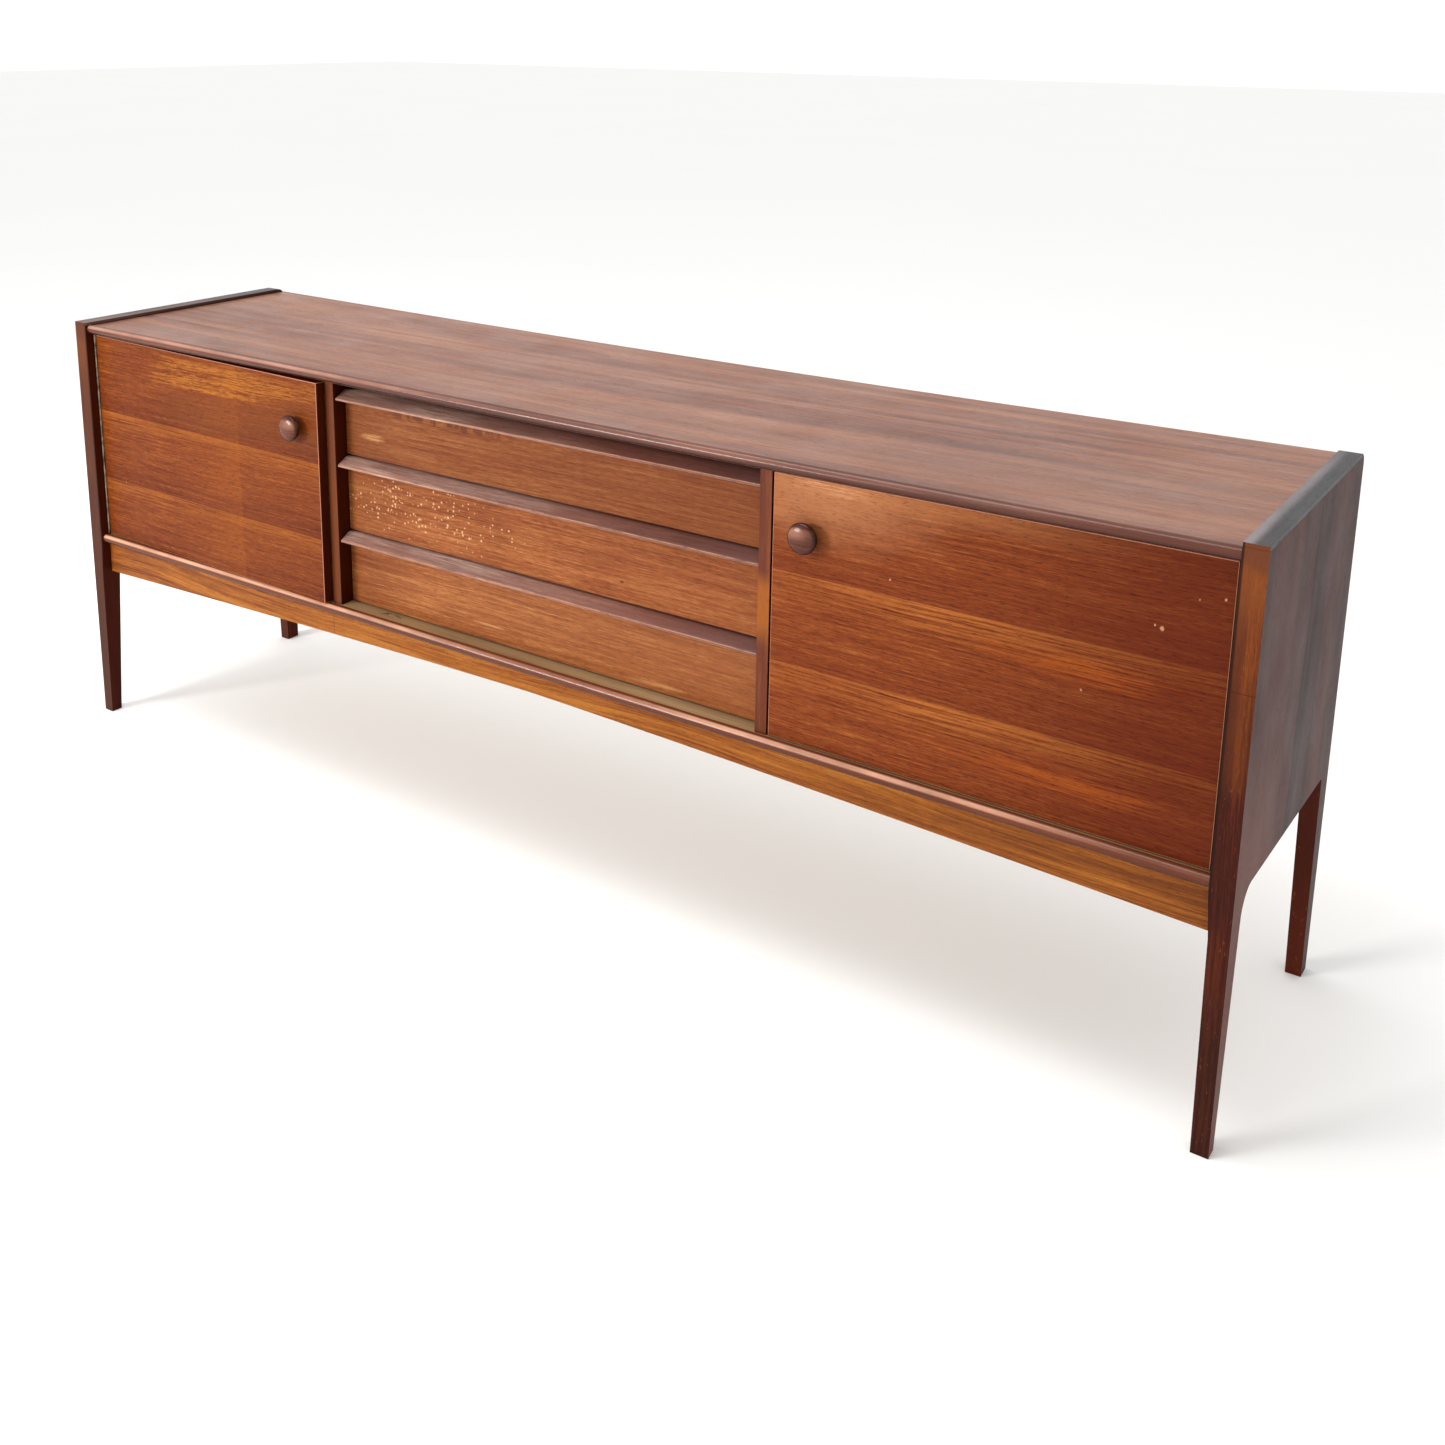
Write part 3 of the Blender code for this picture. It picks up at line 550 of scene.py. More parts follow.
def sunk_by(f):
    """How far the front of the top has sunk, as nodes."""
    share = f.maths("MAXIMUM", f.times(f.add(f.x, TOP_HALF), 0.5 / TOP_HALF), 0.0)
    wave = f.maths("SINE", f.times(f.maths("POWER", share, SAG_SKEW), math.pi))
    return f.add(f.times(share, SAG_SLOPE), f.times(wave, SAG_FRONT))


def dark_wood(name, gloss, seed, tint, sheen=0.4, worn=0.0, rounded=None, pale=None, right=0.0):
    """Dark solid teak of the mouldings and of worn edges; worn is how pale it has gone.

    Rounded gives the lowest and highest z of a half-round with a painted highlight, partly real
    rubbing, on its shoulder in the colour pale, and painted shade underneath; right is how
    strong that painted highlight is on its right half.
    """
    f = Wood(name, "x", "z", 0.8, seed).grain()
    colour = f.ramp(f.figure_value(0.5, 0.5, 0.3, 0.7), (66, 32, 22), (90, 48, 34), (118, 70, 50))
    if worn > 0.0:
        rubbed = f.noise(f.stretched(30.0, 120.0, 120.0), 4.0, 0.7)
        share = f.rise(rubbed, 0.62 - worn * 0.35, 0.90 - worn * 0.35)
        colour = f.mix(share, colour, rgb(158, 112, 88))
    if rounded is not None:
        low, high = rounded
        height = f.add(f.z, sunk_by(f)) if rounded == MOULDING_TOP else f.z
        up = f.times(f.minus(height, low), 1.0 / (high - low))
        # painted shade on the underside of the half-round
        painted_underside_shade = f.rise(up, 0.52, 0.22)
        colour = f.over(colour, painted_underside_shade, 0.65, 44, 20, 14)
        # painted highlight on the shoulder, partly real rubbing
        shoulder = f.times(f.rise(up, 0.58, 0.76), f.rise(up, 0.97, 0.87))
        patchy = f.noise(f.scaled(5.0, 0.0, 0.0), 3.0, 0.7)
        # the painted highlight varies along X with where the light falls
        left = f.rise(f.x, 0.05, -0.45, 0.25, 1.0)
        along_x = f.maths("MAXIMUM", left, f.rise(f.x, 0.0, 0.40, 0.0, right))
        along_x = f.times(along_x, f.rise(f.x, 0.90, 0.66, 0.15, 1.0))
        share = f.times(f.times(shoulder, f.rise(patchy, 0.30, 0.62, 0.45, 1.0)), along_x)
        colour = f.mix(f.times(share, 0.60), colour, pale)
    return f.closed(f.tinted(colour, 0.3), gloss, 0.12, 0.00004, sheen=sheen, tint=tint)


def knob_wood(name):
    """Turned dark teak, with a painted highlight above its middle and painted shade round its rim.
    """
    f = Wood(name, "x", "z", 0.8, 2.6).grain()
    colour = f.ramp(f.figure_value(0.9, 0.9, 0.4, 0.7), (52, 24, 14), (82, 40, 24), (118, 66, 42))
    aside = f.minus(f.absolute(f.x), KNOB_X)
    up = f.minus(f.z, KNOB_Z)
    # painted highlight across the upper half of the dome
    rubbed = f.times(f.rise(up, -0.003, 0.007), f.rise(up, 0.0165, 0.0110))
    rubbed = f.times(rubbed, f.rise(aside, 0.014, -0.004, 0.35, 1.0))
    colour = f.over(colour, rubbed, 0.46, 178, 134, 116)
    # painted shade round the rim
    away = f.maths("SQRT", f.add(f.times(aside, aside), f.times(up, up)))
    colour = f.mix(f.rise(away, 0.0160, 0.0190, 0.0, 0.7), colour, rgb(34, 15, 9))
    return f.closed(f.tinted(colour, 0.3), 0.20, 0.12, 0.00004, sheen=0.22, tint=(0.86, 0.72, 0.62))


def lipping_wood(name, side):
    """Solid strip along the top of an end board, with a painted grey highlight on its inner
    shoulder.
    """
    f = Wood(name, "y", "x", 0.8, 5.0 * side).grain()
    value = f.figure_value(0.5, 0.4, 0.2, 0.9)
    # the right strip's grey base is painted reflection; the left one keeps its brown
    if side > 0:
        shades = ((20, 17, 18), (33, 28, 29), (54, 47, 48))
    else:
        shades = ((52, 28, 20), (74, 44, 33), (100, 66, 52))
    colour = f.ramp(value, *shades)
    # painted highlight along the inner shoulder, strong on the right strip and faint on the left
    inner = f.rise(f.absolute(f.x), END_OUTER - 0.012, END_OUTER - 0.023)
    inner = f.times(inner, f.rise(f.mottle, 0.30, 0.55, 0.45, 1.0))
    colour = f.over(colour, inner, 0.55 if side > 0 else 0.15, 150, 138, 140)
    colour = f.mix(f.rise(f.y, FRONT_Y + 0.30, FRONT_Y + 0.43, 0.0, 0.6), colour, rgb(38, 32, 33))
    return f.closed(colour, 0.40, 0.2, 0.00006, sheen=0.20)


def pull_wood(name):
    """Sloping faces of the pulls: dark teak, scuffed grey where hands have rubbed it."""
    f = Wood(name, "x", "y", 0.6, 4.4).grain()
    colour = f.ramp(f.figure_value(0.6, 0.6, 0.3, 0.7), (74, 40, 34), (104, 62, 52), (132, 90, 76))
    scuffed = f.noise(f.stretched(16.0, 420.0, 300.0), 5.0, 0.75)
    left = f.rise(f.x, 0.22, -0.25, 0.10, 1.0)
    rubbed = f.rise(f.noise(f.stretched(5.0, 30.0, 30.0), 3.0, 0.6), 0.38, 0.70, 0.30, 0.80)
    share = f.times(f.times(f.rise(scuffed, 0.34, 0.66, 0.25, 1.0), rubbed), left)
    colour = f.mix(share, colour, rgb(190, 164, 150))
    # painted reflection: darker grey towards the right end
    colour = f.mix(f.rise(f.x, 0.20, 0.36, 0.0, 0.45), colour, rgb(84, 58, 56))
    return f.closed(f.tinted(colour, 0.35), 0.36, 0.25, 0.00008, sheen=0.40)


def gold_wood(name):
    """Golden veneer of the apron."""
    f = Wood(name, "x", "z", 1.8, 6.1).grain()
    value = f.figure_value(1.5, 1.2, 0.6, 0.7)
    at = (0.22, 0.45, 0.62, 0.82)
    colour = f.ramp(value, (116, 60, 24), (156, 92, 42), (184, 118, 56), (206, 144, 80), at=at)
    joint = f.rise(f.absolute(f.add(f.x, 0.40)), 0.0014, 0.0004)
    colour = f.over(colour, joint, 0.5, 96, 50, 22)
    right = f.rise(f.x, 0.2, 0.7)
    colour = f.over(colour, right, 0.12, 206, 150, 96)
    return f.closed(f.tinted(colour, 0.5), 0.42, sheen=0.12, tint=(0.51, 0.39, 0.155))


def strip_wood(name):
    """Top face of the bottom board: dusty grey tan, with dark scuffs in front of the drawers."""
    f = Wood(name, "x", "y", 0.5, 8.3).grain()
    colour = f.ramp(
        f.figure_value(0.5, 0.5, 0.25, 0.6), (104, 78, 56), (134, 106, 80), (156, 130, 104)
    )
    scuff_noise = f.rise(f.noise(f.stretched(120.0, 260.0, 60.0), 2.0, 0.6), 0.50, 0.56)
    scuff = f.times(f.spot((-0.290, -0.182, 0.340), (0.034, 0.010, 0.1), 0.6, 0.5), scuff_noise)
    colour = f.over(colour, scuff, 0.8, 40, 30, 26)
    return f.closed(colour, 0.55, 0.2, tint=(1.08, 1.08, 0.90))


def plain_wood(name, along="x", across="z", seed=0.0):
    """Unpolished light hardwood and plywood of the inside."""
    f = Wood(name, along, across, 1.0, seed).grain()
    value = f.figure_value(0.8, 0.5, 0.25, 0.5)
    at = (0.22, 0.50, 0.80)
    colour = f.ramp(value, (150, 106, 66), (182, 140, 94), (206, 168, 122), at=at)
    return f.closed(f.tinted(colour, 0.3), 0.60, 0.15)


# ---------- finishes: metal and plastic
def metal(name, base, tarnish, roughness):
    """Brushed metal with blotches of tarnish."""
    f = Finish(name)
    blotch = f.noise(f.scaled(60.0, 60.0, 45.0), 4.0, 0.6)
    brushed = f.noise(f.scaled(900.0, 900.0, 60.0), 2.0)
    colour = f.mix(f.rise(blotch, 0.38, 0.66), base, tarnish)
    f.shader.inputs["Metallic"].default_value = 1.0
    rough = f.add(roughness, f.about(blotch, 0.3))
    return f.close(colour, rough, brushed, 0.00003)


def plastic(name, base):
    """Moulded plastic with a fine grain and darker blotches."""
    f = Finish(name)
    grainy = f.noise(f.scaled(1500.0, 1500.0, 1500.0), 2.0)
    blotch = f.noise(f.scaled(70.0, 70.0, 70.0), 3.0)
    colour = f.mix(f.rise(blotch, 0.3, 0.7), base, rgb(70, 50, 36))
    rough = f.add(0.45, f.about(blotch, 0.2))
    return f.close(colour, rough, grainy, 0.00004)


LOOKS = {
    "door_left": door_wood("teak_door_left", -1),
    "door_right": door_wood("teak_door_right", 1),
    "drawer": drawer_wood("teak_drawer_fronts"),
    "top": top_wood("teak_top"),
    "side_left": side_wood("teak_side_left", -1),
    "side_right": side_wood("teak_side_right", 1),
    "edge": edge_wood("teak_end_edges"),
    "inner_face": inner_face_wood("teak_inner_faces"),
    "divider": divider_wood("teak_divider_edges"),
    # the mouldings get a painted highlight on the shoulder and painted shade underneath
    "top_moulding": dark_wood(
        "teak_top_moulding", 0.22, 0.0, (0.78, 0.70, 0.67), 0.25,
        rounded=MOULDING_TOP, pale=rgb(206, 164, 146), right=0.25,
    ),
    "bottom_moulding": dark_wood(
        "teak_bottom_moulding", 0.22, 3.1, (0.95, 0.68, 0.41), 0.22,
        rounded=MOULDING_BOTTOM, pale=rgb(250, 220, 222), right=0.80,
    ),
    "knob": knob_wood("teak_knobs"),
    "lipping_left": lipping_wood("teak_lipping_left", -1),
    "lipping_right": lipping_wood("teak_lipping_right", 1),
    "door_edge": dark_wood("teak_worn_door_edges", 0.40, 1.9, (1.3, 1.1, 1.0), worn=1.3),
    "pull": pull_wood("teak_pulls"),
    "worn_edge": dark_wood("teak_worn_edges", 0.40, 1.0, (1.0, 0.86, 0.72), 0.20, worn=0.95),
    "gold": gold_wood("teak_apron"),
    "strip": strip_wood("teak_bottom_board"),
    "plain": plain_wood("inner_wood_long"),
    "plain_deep": plain_wood("inner_wood_deep", "y", "z", 3.0),
    # dark brass of the right hinge, darkened further as painted shade of the gap beside it
    "dark_brass": metal("dark_brass", rgb(34, 25, 17), rgb(20, 14, 10), 0.50),
    "brass": metal("dull_brass", rgb(150, 132, 112), rgb(84, 68, 56), 0.40),
    "steel": metal("zinc_steel", rgb(176, 174, 170), rgb(128, 124, 120), 0.34),
    "plastic": plastic("brown_plastic", rgb(96, 70, 50)),
}


# ---------- building pieces
def new_object(name, bm, materials):
    mesh = bpy.data.meshes.new(name)
    bm.to_mesh(mesh)
    bm.free()
    for material in materials:
        mesh.materials.append(material)
    ob = bpy.data.objects.new(name, mesh)
    bpy.context.scene.collection.objects.link(ob)
    return ob


def placed(name, bm, looks, node, weighted=True):
    """Make the piece that stands for a CAD node, riding on that node's body."""
    ob = new_object(name, bm, [LOOKS[look] for look in looks])
    ob.data.shade_smooth()
    ob.data.set_sharp_from_angle(angle=SMOOTH_BELOW)
    if weighted:
        normals = ob.modifiers.new("even_faces", "WEIGHTED_NORMAL")
        normals.keep_sharp = True
    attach(ob, BODY_OF[node])
    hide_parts(node)


def node_shape(node):
    """The CAD node's solid with its flat faces whole again."""
    bm = bmesh.new()
    bm.from_mesh(NODES[node].data)
    bmesh.ops.remove_doubles(bm, verts=bm.verts, dist=MERGE)
    bmesh.ops.dissolve_limit(bm, angle_limit=FLAT_WITHIN, verts=bm.verts, edges=bm.edges)
    bmesh.ops.recalc_face_normals(bm, faces=bm.faces)
    for face in bm.faces:
        face.material_index = 0
    return bm


def sharp_edges(bm, over=30.0):
    """Edges whose faces meet at more than so many degrees."""
    return [edge for edge in bm.edges if edge.calc_face_angle(0.0) > math.radians(over)]


def long_edges(bm, shortest, over=30.0):
    return [edge for edge in sharp_edges(bm, over) if edge.calc_length() > shortest]


def ease(bm, edges, width, steps=2, look=-1):
    """Round the given edges; look is the material index that the rounding gets."""
    bmesh.ops.bevel(
        bm, geom=edges, offset=width, offset_type="OFFSET", segments=steps,
        profile=0.5, affect="EDGES", clamp_overlap=True, material=look,
    )


def board(node, look, width=0.0008):
    """A CAD board with its edges eased."""
    bm = node_shape(node)
    ease(bm, sharp_edges(bm), width)
    placed(node + "_piece", bm, (look,), node)


def prism(points, width, turn):
    """Closed solid of a flat outline, extruded evenly to both sides of its plane."""
    bm = bmesh.new()
    near = [bm.verts.new((u, v, -width / 2.0)) for u, v in points]
    far = [bm.verts.new((u, v, width / 2.0)) for u, v in points]
    bm.faces.new(near[::-1])
    bm.faces.new(far)
    for i in range(len(points)):
        j = (i + 1) % len(points)
        bm.faces.new((near[i], near[j], far[j], far[i]))
    bmesh.ops.transform(bm, matrix=turn, verts=bm.verts)
    bmesh.ops.recalc_face_normals(bm, faces=bm.faces)
    return bm


SIDE_VIEW = Matrix.Rotation(math.radians(90), 4, "Z") @ Matrix.Rotation(math.radians(90), 4, "X")
FRONT_VIEW = Matrix.Rotation(math.radians(90), 4, "X")


def arc(centre, radius, start, end, steps):
    """Points round a centre from one angle to another, in degrees."""
    points = []
    for i in range(steps + 1):
        angle = math.radians(start + (end - start) * i / steps)
        points.append((centre[0] + radius * math.cos(angle), centre[1] + radius * math.sin(angle)))
    return points


# ---------- end boards and lippings
def end_thickness(z):
    """Thickness of an end board at a height: its legs thin on their inner side."""
    if z >= TAPER_TOP_Z:
        return END_THICK
    if z >= TAPER_MID_Z:
        share = (z - TAPER_MID_Z) / (TAPER_TOP_Z - TAPER_MID_Z)
        return LEG_THICK_TOP + share * (END_THICK - LEG_THICK_TOP)
    return LEG_THICK_FOOT + z / TAPER_MID_Z * (LEG_THICK_TOP - LEG_THICK_FOOT)


def corner_points(low, high, steps):
    """Rounded top corner at the back, between two heights, from the top down."""
    points = []
    for i in range(steps + 1):
        z = high + (low - high) * i / steps
        up = z - (HEIGHT - LIP_CORNER_R)
        reach = math.sqrt(max(LIP_CORNER_R ** 2 - up ** 2, 0.0))
        points.append((DEPTH - LIP_CORNER_R + reach, z))
    return points


def end_outline():
    """Side outline of an end board, from its front edge, with two legs and an arch."""
    points = [(0.0, 0.0), (0.0, SEAM_Z)] + corner_points(HEIGHT - LIP_CORNER_R, SEAM_Z, steps=8)
    points += [(DEPTH, 0.0), (DEPTH - REAR_FOOT_DEPTH, 0.0)]
    rear = DEPTH - REAR_LEG_DEPTH
    points += arc((rear - ARCH_REAR_R, ARCH_REAR_Z - ARCH_REAR_R), ARCH_REAR_R, 0, 90, steps=8)
    centre = (FRONT_LEG_DEPTH + ARCH_FRONT_R, ARCH_FRONT_Z - ARCH_FRONT_R)
    points += arc(centre, ARCH_FRONT_R, 90, 180, steps=20)
    points.append((FRONT_FOOT_DEPTH, 0.0))
    return points


def end_board(label, side):
    """End board with its legs."""
    node = label + "_end_board"
    bm = prism(end_outline(), END_THICK, SIDE_VIEW)
    bmesh.ops.translate(bm, vec=(0.0, FRONT_Y, 0.0), verts=bm.verts)
    for height in (TAPER_TOP_Z, TAPER_MID_Z):
        everything = bm.verts[:] + bm.edges[:] + bm.faces[:]
        bmesh.ops.bisect_plane(bm, geom=everything, plane_co=(0, 0, height), plane_no=(0, 0, 1))
    for vert in bm.verts:
        outer = vert.co.x * side > 0.0
        vert.co.x = side * (END_OUTER if outer else END_OUTER - end_thickness(vert.co.z))
    for face in bm.faces:
        outward = face.normal.x * side
        face.material_index = 0 if outward > FACING else (2 if outward < -FACING else 1)
    rear_y = FRONT_Y + DEPTH - NEAR
    rear = [e for e in long_edges(bm, REAR_EDGE_MIN) if all(v.co.y > rear_y for v in e.verts)]
    ease(bm, rear, REAR_EASE, steps=6, look=1)
    edges = [e for e in sharp_edges(bm) if min(v.co.z for v in e.verts) < SEAM_Z - NEAR]
    ease(bm, edges, END_EASE, steps=4, look=1)
    placed("end_board_" + label, bm, ("side_" + label, "edge", "inner_face"), node)


def end_lipping(label, side):
    """Strip along the top of an end board, round at the back corner."""
    node = label + "_end_lipping"
    low = LIP_LOW.z
    outline = [(0.0, low), (0.0, HEIGHT)] + corner_points(low, HEIGHT, steps=10)
    bm = prism(outline, END_THICK, SIDE_VIEW)
    middle = side * (END_OUTER - END_THICK / 2.0)
    bmesh.ops.translate(bm, vec=(middle, FRONT_Y, 0.0), verts=bm.verts)
    for face in bm.faces:
        face.material_index = 1 if face.normal.y < -FACING else 0
    inner_x = END_OUTER - END_THICK + NEAR
    outer_x = END_OUTER - NEAR
    inner_z = HEIGHT - LIP_CORNER_R * LIP_ROUND_DOWN
    outer_z = low + NEAR
    sharp = sharp_edges(bm)
    inner = [e for e in sharp if all(v.co.x * side < inner_x and v.co.z > inner_z for v in e.verts)]
    ease(bm, inner, LIP_ROUND, steps=6, look=0)
    sharp = sharp_edges(bm)
    outer = [e for e in sharp if all(v.co.x * side > outer_x and v.co.z > outer_z for v in e.verts)]
    ease(bm, outer, LIP_ROUND_OUTER, steps=6, look=0)
    placed("lipping_" + label, bm, ("lipping_" + label, "edge"), node)


for label, side in (("left", -1), ("right", 1)):
    end_board(label, side)
    end_lipping(label, side)


# ---------- mouldings
def moulding(node):
    """Half-round moulding, a little uneven along its length."""
    low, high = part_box(node)
    height = high.z - low.z
    reach = high.y - low.y
    middle_z = (low.z + high.z) / 2.0
    wave_1, wave_2 = MOULDING_WAVES
    bm = bmesh.new()
    rings = []
    for i in range(MOULDING_ROWS + 1):
        x = low.x + (high.x - low.x) * i / MOULDING_ROWS
        dip = MOULDING_DIP * (1.0 + math.sin(i * wave_1) * math.cos(i * wave_2))
        ring = []
        for j in range(MOULDING_AROUND + 1):
            angle = math.radians(-90 + 180 * j / MOULDING_AROUND)
            y = high.y - (reach - dip) * math.cos(angle)
            z = middle_z + (height / 2.0 - dip) * math.sin(angle)
            ring.append(bm.verts.new((x, y, z)))
        rings.append(ring)
    for a, b in zip(rings, rings[1:]):
        for j in range(MOULDING_AROUND):
            bm.faces.new((a[j], a[j + 1], b[j + 1], b[j]))
        bm.faces.new((a[-1], a[0], b[0], b[-1]))
    bm.faces.new(rings[0])
    bm.faces.new(rings[-1][::-1])
    if node == "top_moulding":
        for vert in bm.verts:
            vert.co.z -= sag(vert.co.x, FRONT_Y)
    bmesh.ops.recalc_face_normals(bm, faces=bm.faces)
    placed(node + "_piece", bm, (node,), node, weighted=False)


def sag(x, y):
    """How far the top has sunk at a place on it."""
    share = min(max((x + TOP_HALF) / (2.0 * TOP_HALF), 0.0), 1.0)
    front = SAG_SLOPE * share + SAG_FRONT * math.sin(math.pi * share ** SAG_SKEW)
    back = SAG_BACK * math.sin(math.pi * share)
    to_back = min(max((y - FRONT_Y) / DEPTH, 0.0), 1.0)
    return front + (back - front) * to_back


def sink(bm, above):
    """Lower what stands above a height as far as the top has sunk there."""
    for vert in bm.verts:
        if vert.co.z > above:
            vert.co.z -= sag(vert.co.x, vert.co.y)


def slice_along(bm, axis, start, end, parts):
    """Cut a solid's faces across an axis into equal parts so that it can bend."""
    normal = Vector((1, 0, 0)) if axis == "x" else Vector((0, 1, 0))
    for i in range(1, parts):
        place = normal * (start + (end - start) * i / parts)
        everything = bm.verts[:] + bm.edges[:] + bm.faces[:]
        bmesh.ops.bisect_plane(bm, geom=everything, plane_co=place, plane_no=normal)


moulding("top_moulding")
moulding("bottom_moulding")


# ---------- aprons
def apron(node, look):
    """Rail under the case whose lower edge rises to the middle."""
    low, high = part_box(node)
    half = high.x
    points = [(half, high.z), (-half, high.z)]
    for i in range(APRON_STEPS + 1):
        across = -half + 2.0 * half * i / APRON_STEPS
        fall = (abs(across) / half) ** APRON_CURVE
        points.append((across, APRON_END_Z + APRON_RISE * (1.0 - fall)))
    bm = prism(points, high.y - low.y, FRONT_VIEW)
    bmesh.ops.translate(bm, vec=(0.0, (low.y + high.y) / 2.0, 0.0), verts=bm.verts)
    ease(bm, sharp_edges(bm), width=0.0009)
    placed(node + "_piece", bm, (look,), node)


apron("front_apron", "gold")
apron("rear_apron", "plain")


# ---------- boards of the case
def two_faced(node, looks, axis, width, sunk=False):
    """A board whose faces along one axis get the second look."""
    bm = node_shape(node)
    for face in bm.faces:
        if abs(getattr(face.normal, axis)) > FACING:
            face.material_index = 1
    ease(bm, sharp_edges(bm), width)
    if sunk:
        sink(bm, DOOR_TOP_Z)
    placed(node + "_piece", bm, looks, node)


def bent_board(node, look, width, strips=1):
    """A long board that has sunk, cut across, and lengthwise into strips, so that it bends."""
    bm = node_shape(node)
    ease(bm, sharp_edges(bm), width)
    slice_along(bm, "x", -TOP_HALF, TOP_HALF, SAG_CUTS)
    slice_along(bm, "y", FRONT_Y, FRONT_Y + DEPTH, strips)
    sink(bm, DOOR_TOP_Z)
    placed(node + "_piece", bm, (look,), node)


bent_board("top_board", "top", width=0.0006, strips=12)
two_faced("bottom_board", ("plain", "strip"), "z", width=0.0006)
bent_board("back_panel", "plain", width=0.0005)
for label in ("left", "right"):
    two_faced(label + "_divider", ("divider", "inner_face"), "x", width=0.0010, sunk=True)
    board(label + "_shelf", "plain")
    board(label + "_batten_inner", "plain_deep")
    board(label + "_batten_outer", "plain_deep")


# ---------- doors
def turn_of(side):
    """Where a closed door's pieces go at rest."""
    if side > 0:
        return Matrix.Identity(4)
    swing = Matrix.Rotation(-LEFT_DOOR_AJAR, 4, "Z")
    return Matrix.Translation(LEFT_AXIS) @ swing @ Matrix.Translation(-LEFT_AXIS)


KNOB_R = 0.0205
KNOB_TIP = 0.0225  # distances are from the door's face
KNOB_WAIST = 0.0145
KNOB_FULL = 0.9  # under 1 makes the dome fuller than an ellipse
KNOB_RIM = 0.0020
KNOB_STEPS = 18
KNOB_SIDES = 64
UNDER_R = KNOB_R * 0.985
UNDER_DEPTH = 0.0068
UNDER_FULL = 0.8
UNDER_STEPS = 12
NECK_R = 0.0075
NECK_START = 0.0085  # below the rim
HOLE_R = 0.0023
HOLE_DEPTH = 0.013
GAP = 0.0003  # between the knob and the door
NECK_FLARES = ((1.04, 0.0006), (1.02, GAP))


def knob_profile():
    """Radius and distance from the door's face, from the dome's tip to the screw hole."""
    points = [(0.0, KNOB_TIP)]
    for i in range(1, KNOB_STEPS + 1):
        angle = math.radians(90 - 90 * i / KNOB_STEPS)
        rise = (KNOB_TIP - KNOB_WAIST) * math.sin(angle)
        points.append((KNOB_R * math.cos(angle) ** KNOB_FULL, KNOB_WAIST + rise))
    rim = KNOB_WAIST - KNOB_RIM
    for i in range(1, UNDER_STEPS + 1):
        angle = math.radians(90 * i / UNDER_STEPS)
        radius = NECK_R + (UNDER_R - NECK_R) * math.cos(angle) ** UNDER_FULL
        points.append((radius, rim - UNDER_DEPTH * math.sin(angle)))
    points.append((NECK_R, rim - NECK_START))
    points += [(NECK_R * flare, height) for flare, height in NECK_FLARES]
    points += [(HOLE_R, GAP), (HOLE_R, HOLE_DEPTH), (0.0, HOLE_DEPTH)]
    return points


def knob(label, place, matrix):
    """Turned knob whose axis points to the front from a place on a closed door's face."""
    bm = bmesh.new()
    verts = [bm.verts.new((radius, 0.0, length)) for radius, length in knob_profile()]
    edges = [bm.edges.new(pair) for pair in zip(verts, verts[1:])]
    bmesh.ops.spin(
        bm, geom=verts + edges, cent=(0, 0, 0), axis=(0, 0, 1), dvec=(0, 0, 0),
        angle=math.tau, steps=KNOB_SIDES, use_merge=True,
    )
    bmesh.ops.remove_doubles(bm, verts=bm.verts, dist=MERGE / 2.0)
    bmesh.ops.transform(bm, matrix=FRONT_VIEW, verts=bm.verts)
    bmesh.ops.translate(bm, vec=place, verts=bm.verts)
    bmesh.ops.transform(bm, matrix=matrix, verts=bm.verts)
    bmesh.ops.recalc_face_normals(bm, faces=bm.faces)
    placed("knob_" + label, bm, ("knob",), label + "_knob", weighted=False)


def door(label, side):
    """Door panel with its knob, strike, catch and hinge."""
    matrix = turn_of(side)
    node = label + "_door"
    bm = node_shape(node)
    # faces other than the front take the inner face look, darkened as painted shade
    for face in bm.faces:
        facing = matrix.to_3x3().inverted() @ face.normal
        face.material_index = 0 if abs(facing.y) > FACING else 1
    ease(bm, long_edges(bm, DOOR_EDGE_MIN), width=0.0008, look=2)
    sink(bm, DOOR_TOP_Z - DOOR_SINK)
    placed("door_panel_" + label, bm, ("door_" + label, "inner_face", "door_edge"), node)
    knob(label, Vector((side * KNOB_X, FRONT_Y + FACE_BACK, KNOB_Z)), matrix)
    for part, look in (("_strike", "steel"), ("_catch", "plastic")):
        bm = node_shape(label + part)
        ease(bm, sharp_edges(bm), width=0.0004)
        sink(bm, STRIP_Z)
        placed(label + part + "_piece", bm, (look,), label + part)
    for part in ("_hinge_pin", "_hinge_leaf_door", "_hinge_leaf_cabinet"):
        bm = node_shape(label + part)
        sink(bm, DOOR_TOP_Z - HINGE_SINK)
        # the right hinge's dark brass also stands as painted shade of the gap beside the door
        placed(label + part + "_piece", bm, ("dark_brass" if side > 0 else "brass",), label + part)
    finish_node(label + "_knob_screw", "steel")


def finish_node(node, look):
    """Keep a CAD node and give it a better material."""
    mesh = NODES[node].data
    mesh.materials.clear()
    mesh.materials.append(LOOKS[look])


door("left", -1)
door("right", 1)


# ---------- drawers
def pull(node):
    """Finger pull with a rounded nose that has worn pale along its lower front edge."""
    bm = node_shape(node)
    nose_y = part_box(node)[0].y + NOSE_REACH
    edges = long_edges(bm, NOSE_EDGE_MIN, over=20.0)
    nose = [e for e in edges if max(v.co.y for v in e.verts) < nose_y]
    ease(bm, nose, width=0.0008, steps=3, look=1)
    ease(bm, long_edges(bm, PULL_EDGE_MIN, over=35.0), width=0.0006)
    placed(node + "_piece", bm, ("pull", "worn_edge"), node)


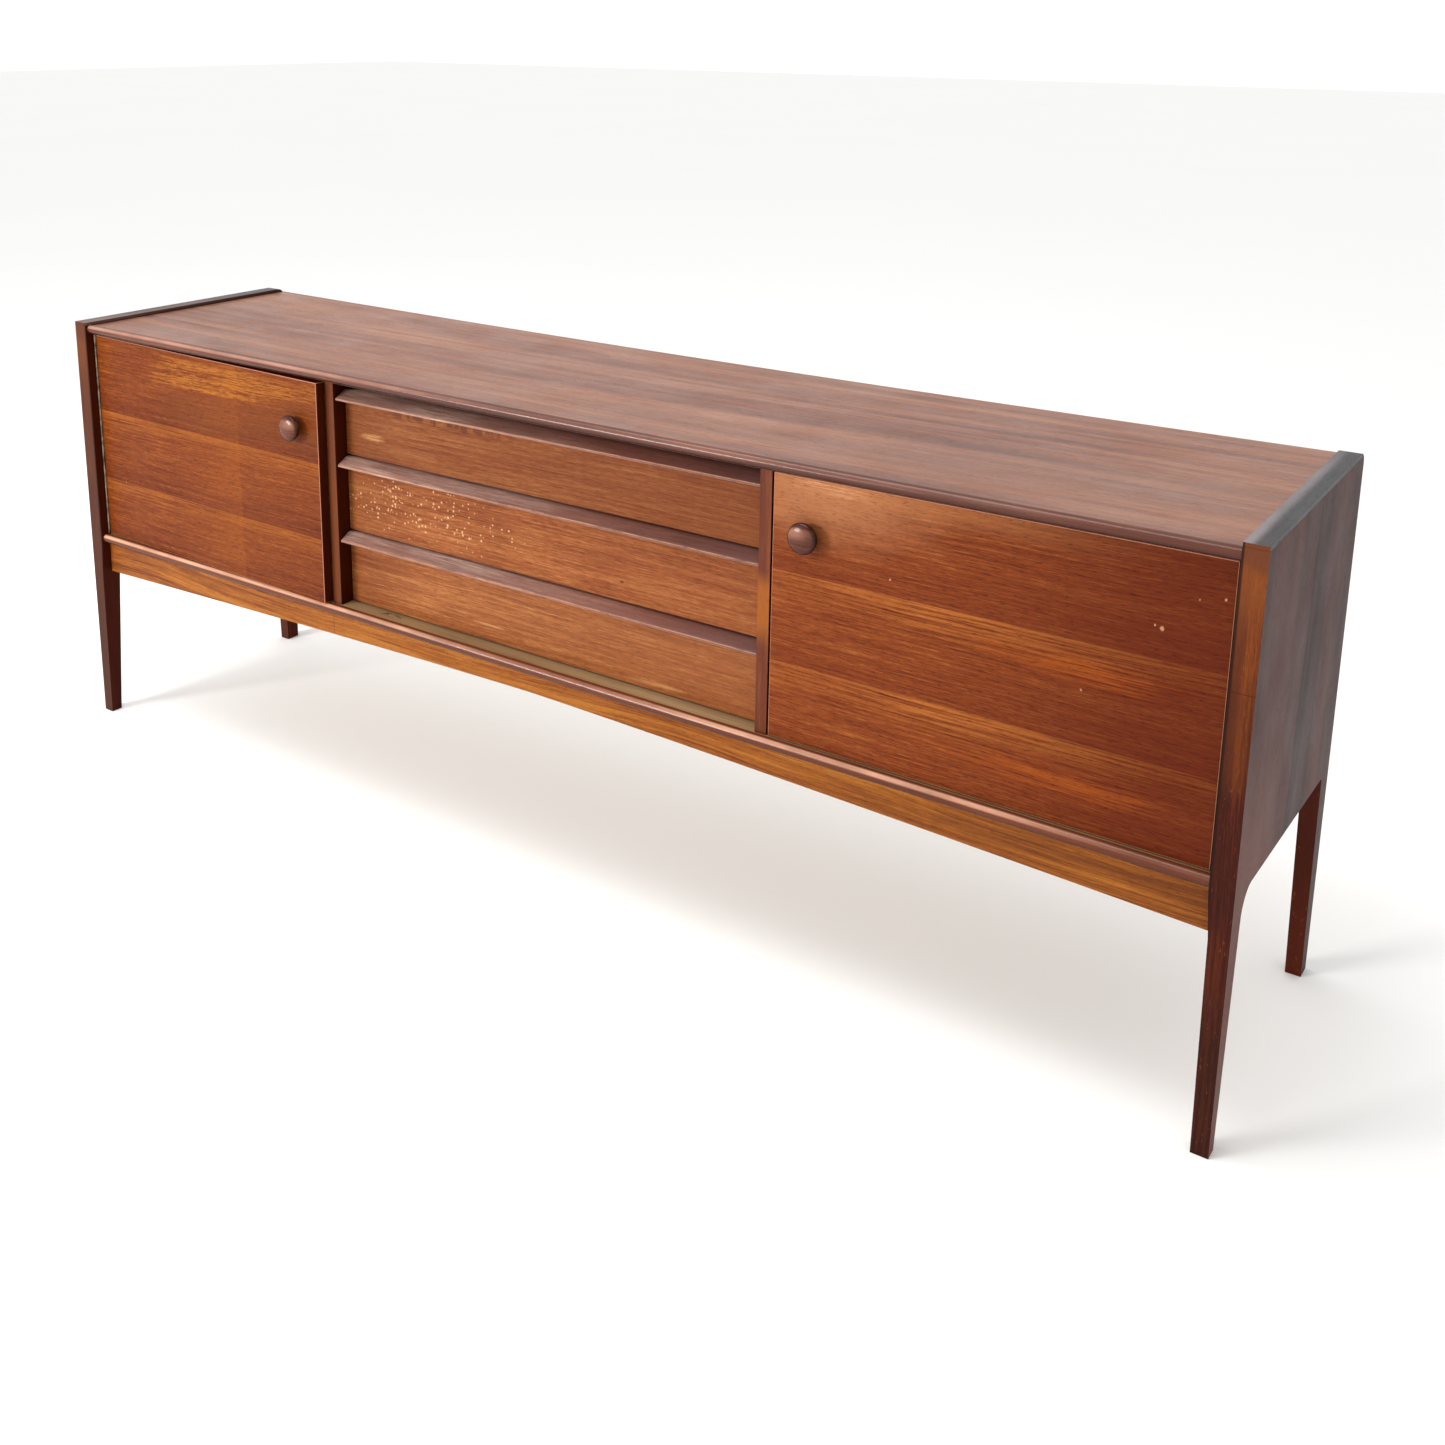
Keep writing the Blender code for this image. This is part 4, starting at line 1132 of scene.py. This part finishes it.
for number in (1, 2, 3):
    name = "drawer_" + str(number)
    board(name + "_front", "drawer")
    pull(name + "_pull")
    for part in ("_side_left", "_side_right", "_runner_left", "_runner_right"):
        board(name + part, "plain_deep", width=0.0006)
    board(name + "_back", "plain", width=0.0006)
    board(name + "_bottom", "plain", width=0.0004)


# ---------- floor, light and camera
WORLD_STRENGTH = 1.12
WORLD_RIGHT = 0.55  # share of it that comes from the right
WORLD_FADE = (-0.10, 0.75)  # where along X that change starts and ends
LENS = 38.88
LENS_SHIFT = (0.0467, -0.2336)
CAMERA_PLACE = (1.3537, -1.8120, 1.2482)
CAMERA_TURN = (76.721, -0.407, 35.177)


def floor():
    """Pale floor that runs out of sight."""
    bm = bmesh.new()
    bmesh.ops.create_grid(bm, x_segments=1, y_segments=1, size=30.0)
    f = Finish("pale_floor")
    cloud = f.noise(f.scaled(0.6, 0.6, 0.0), 2.0)
    pale = f.close(f.mix(cloud, rgb(249, 249, 248), rgb(252, 252, 251)), 0.8)
    ob = new_object("floor", bm, (pale,))


def world():
    """White surroundings, darker to the right of the cabinet."""
    surroundings = bpy.data.worlds.new("studio")
    bpy.context.scene.world = surroundings
    surroundings.use_nodes = True
    nodes = surroundings.node_tree.nodes
    links = surroundings.node_tree.links
    back = nodes["Background"]
    place = nodes.new("ShaderNodeTexCoord")
    split = nodes.new("ShaderNodeSeparateXYZ")
    fade = smooth_step(nodes, *WORLD_FADE, WORLD_STRENGTH, WORLD_STRENGTH * WORLD_RIGHT)
    links.new(place.outputs["Generated"], split.inputs[0])
    links.new(split.outputs[0], fade.inputs["Value"])
    links.new(fade.outputs["Result"], back.inputs["Strength"])
    back.inputs["Color"].default_value = (1.0, 1.0, 1.0, 1.0)


def softbox(name, place, target, size, power, colour=(1.0, 1.0, 1.0)):
    """Rectangular lamp at a place, turned to a target."""
    data = bpy.data.lights.new(name, "AREA")
    data.shape = "RECTANGLE"
    data.size, data.size_y = size
    data.energy = power
    data.color = colour
    ob = bpy.data.objects.new(name, data)
    ob.location = place
    ob.rotation_euler = (Vector(target) - Vector(place)).to_track_quat("-Z", "Y").to_euler()
    bpy.context.scene.collection.objects.link(ob)


def camera():
    """Stands at the right of the front, looking back along it and down."""
    data = bpy.data.cameras.new("camera")
    data.sensor_width = 36.0
    data.lens = LENS
    data.shift_x, data.shift_y = LENS_SHIFT
    ob = bpy.data.objects.new("camera", data)
    ob.location = CAMERA_PLACE
    ob.rotation_euler = [math.radians(angle) for angle in CAMERA_TURN]
    bpy.context.scene.collection.objects.link(ob)
    bpy.context.scene.camera = ob


floor()
world()
softbox(
    "key", place=(-2.2, -3.6, 1.5), target=(0.0, 0.0, 0.4), size=(1.4, 1.0), power=150.0,
    colour=(1.0, 0.98, 0.95),
)
softbox("overhead", place=(-0.3, -0.6, 3.0), target=(0.0, 0.1, 0.5), size=(2.4, 0.8), power=40.0)
camera()
bpy.context.scene.view_settings.view_transform = "Standard"
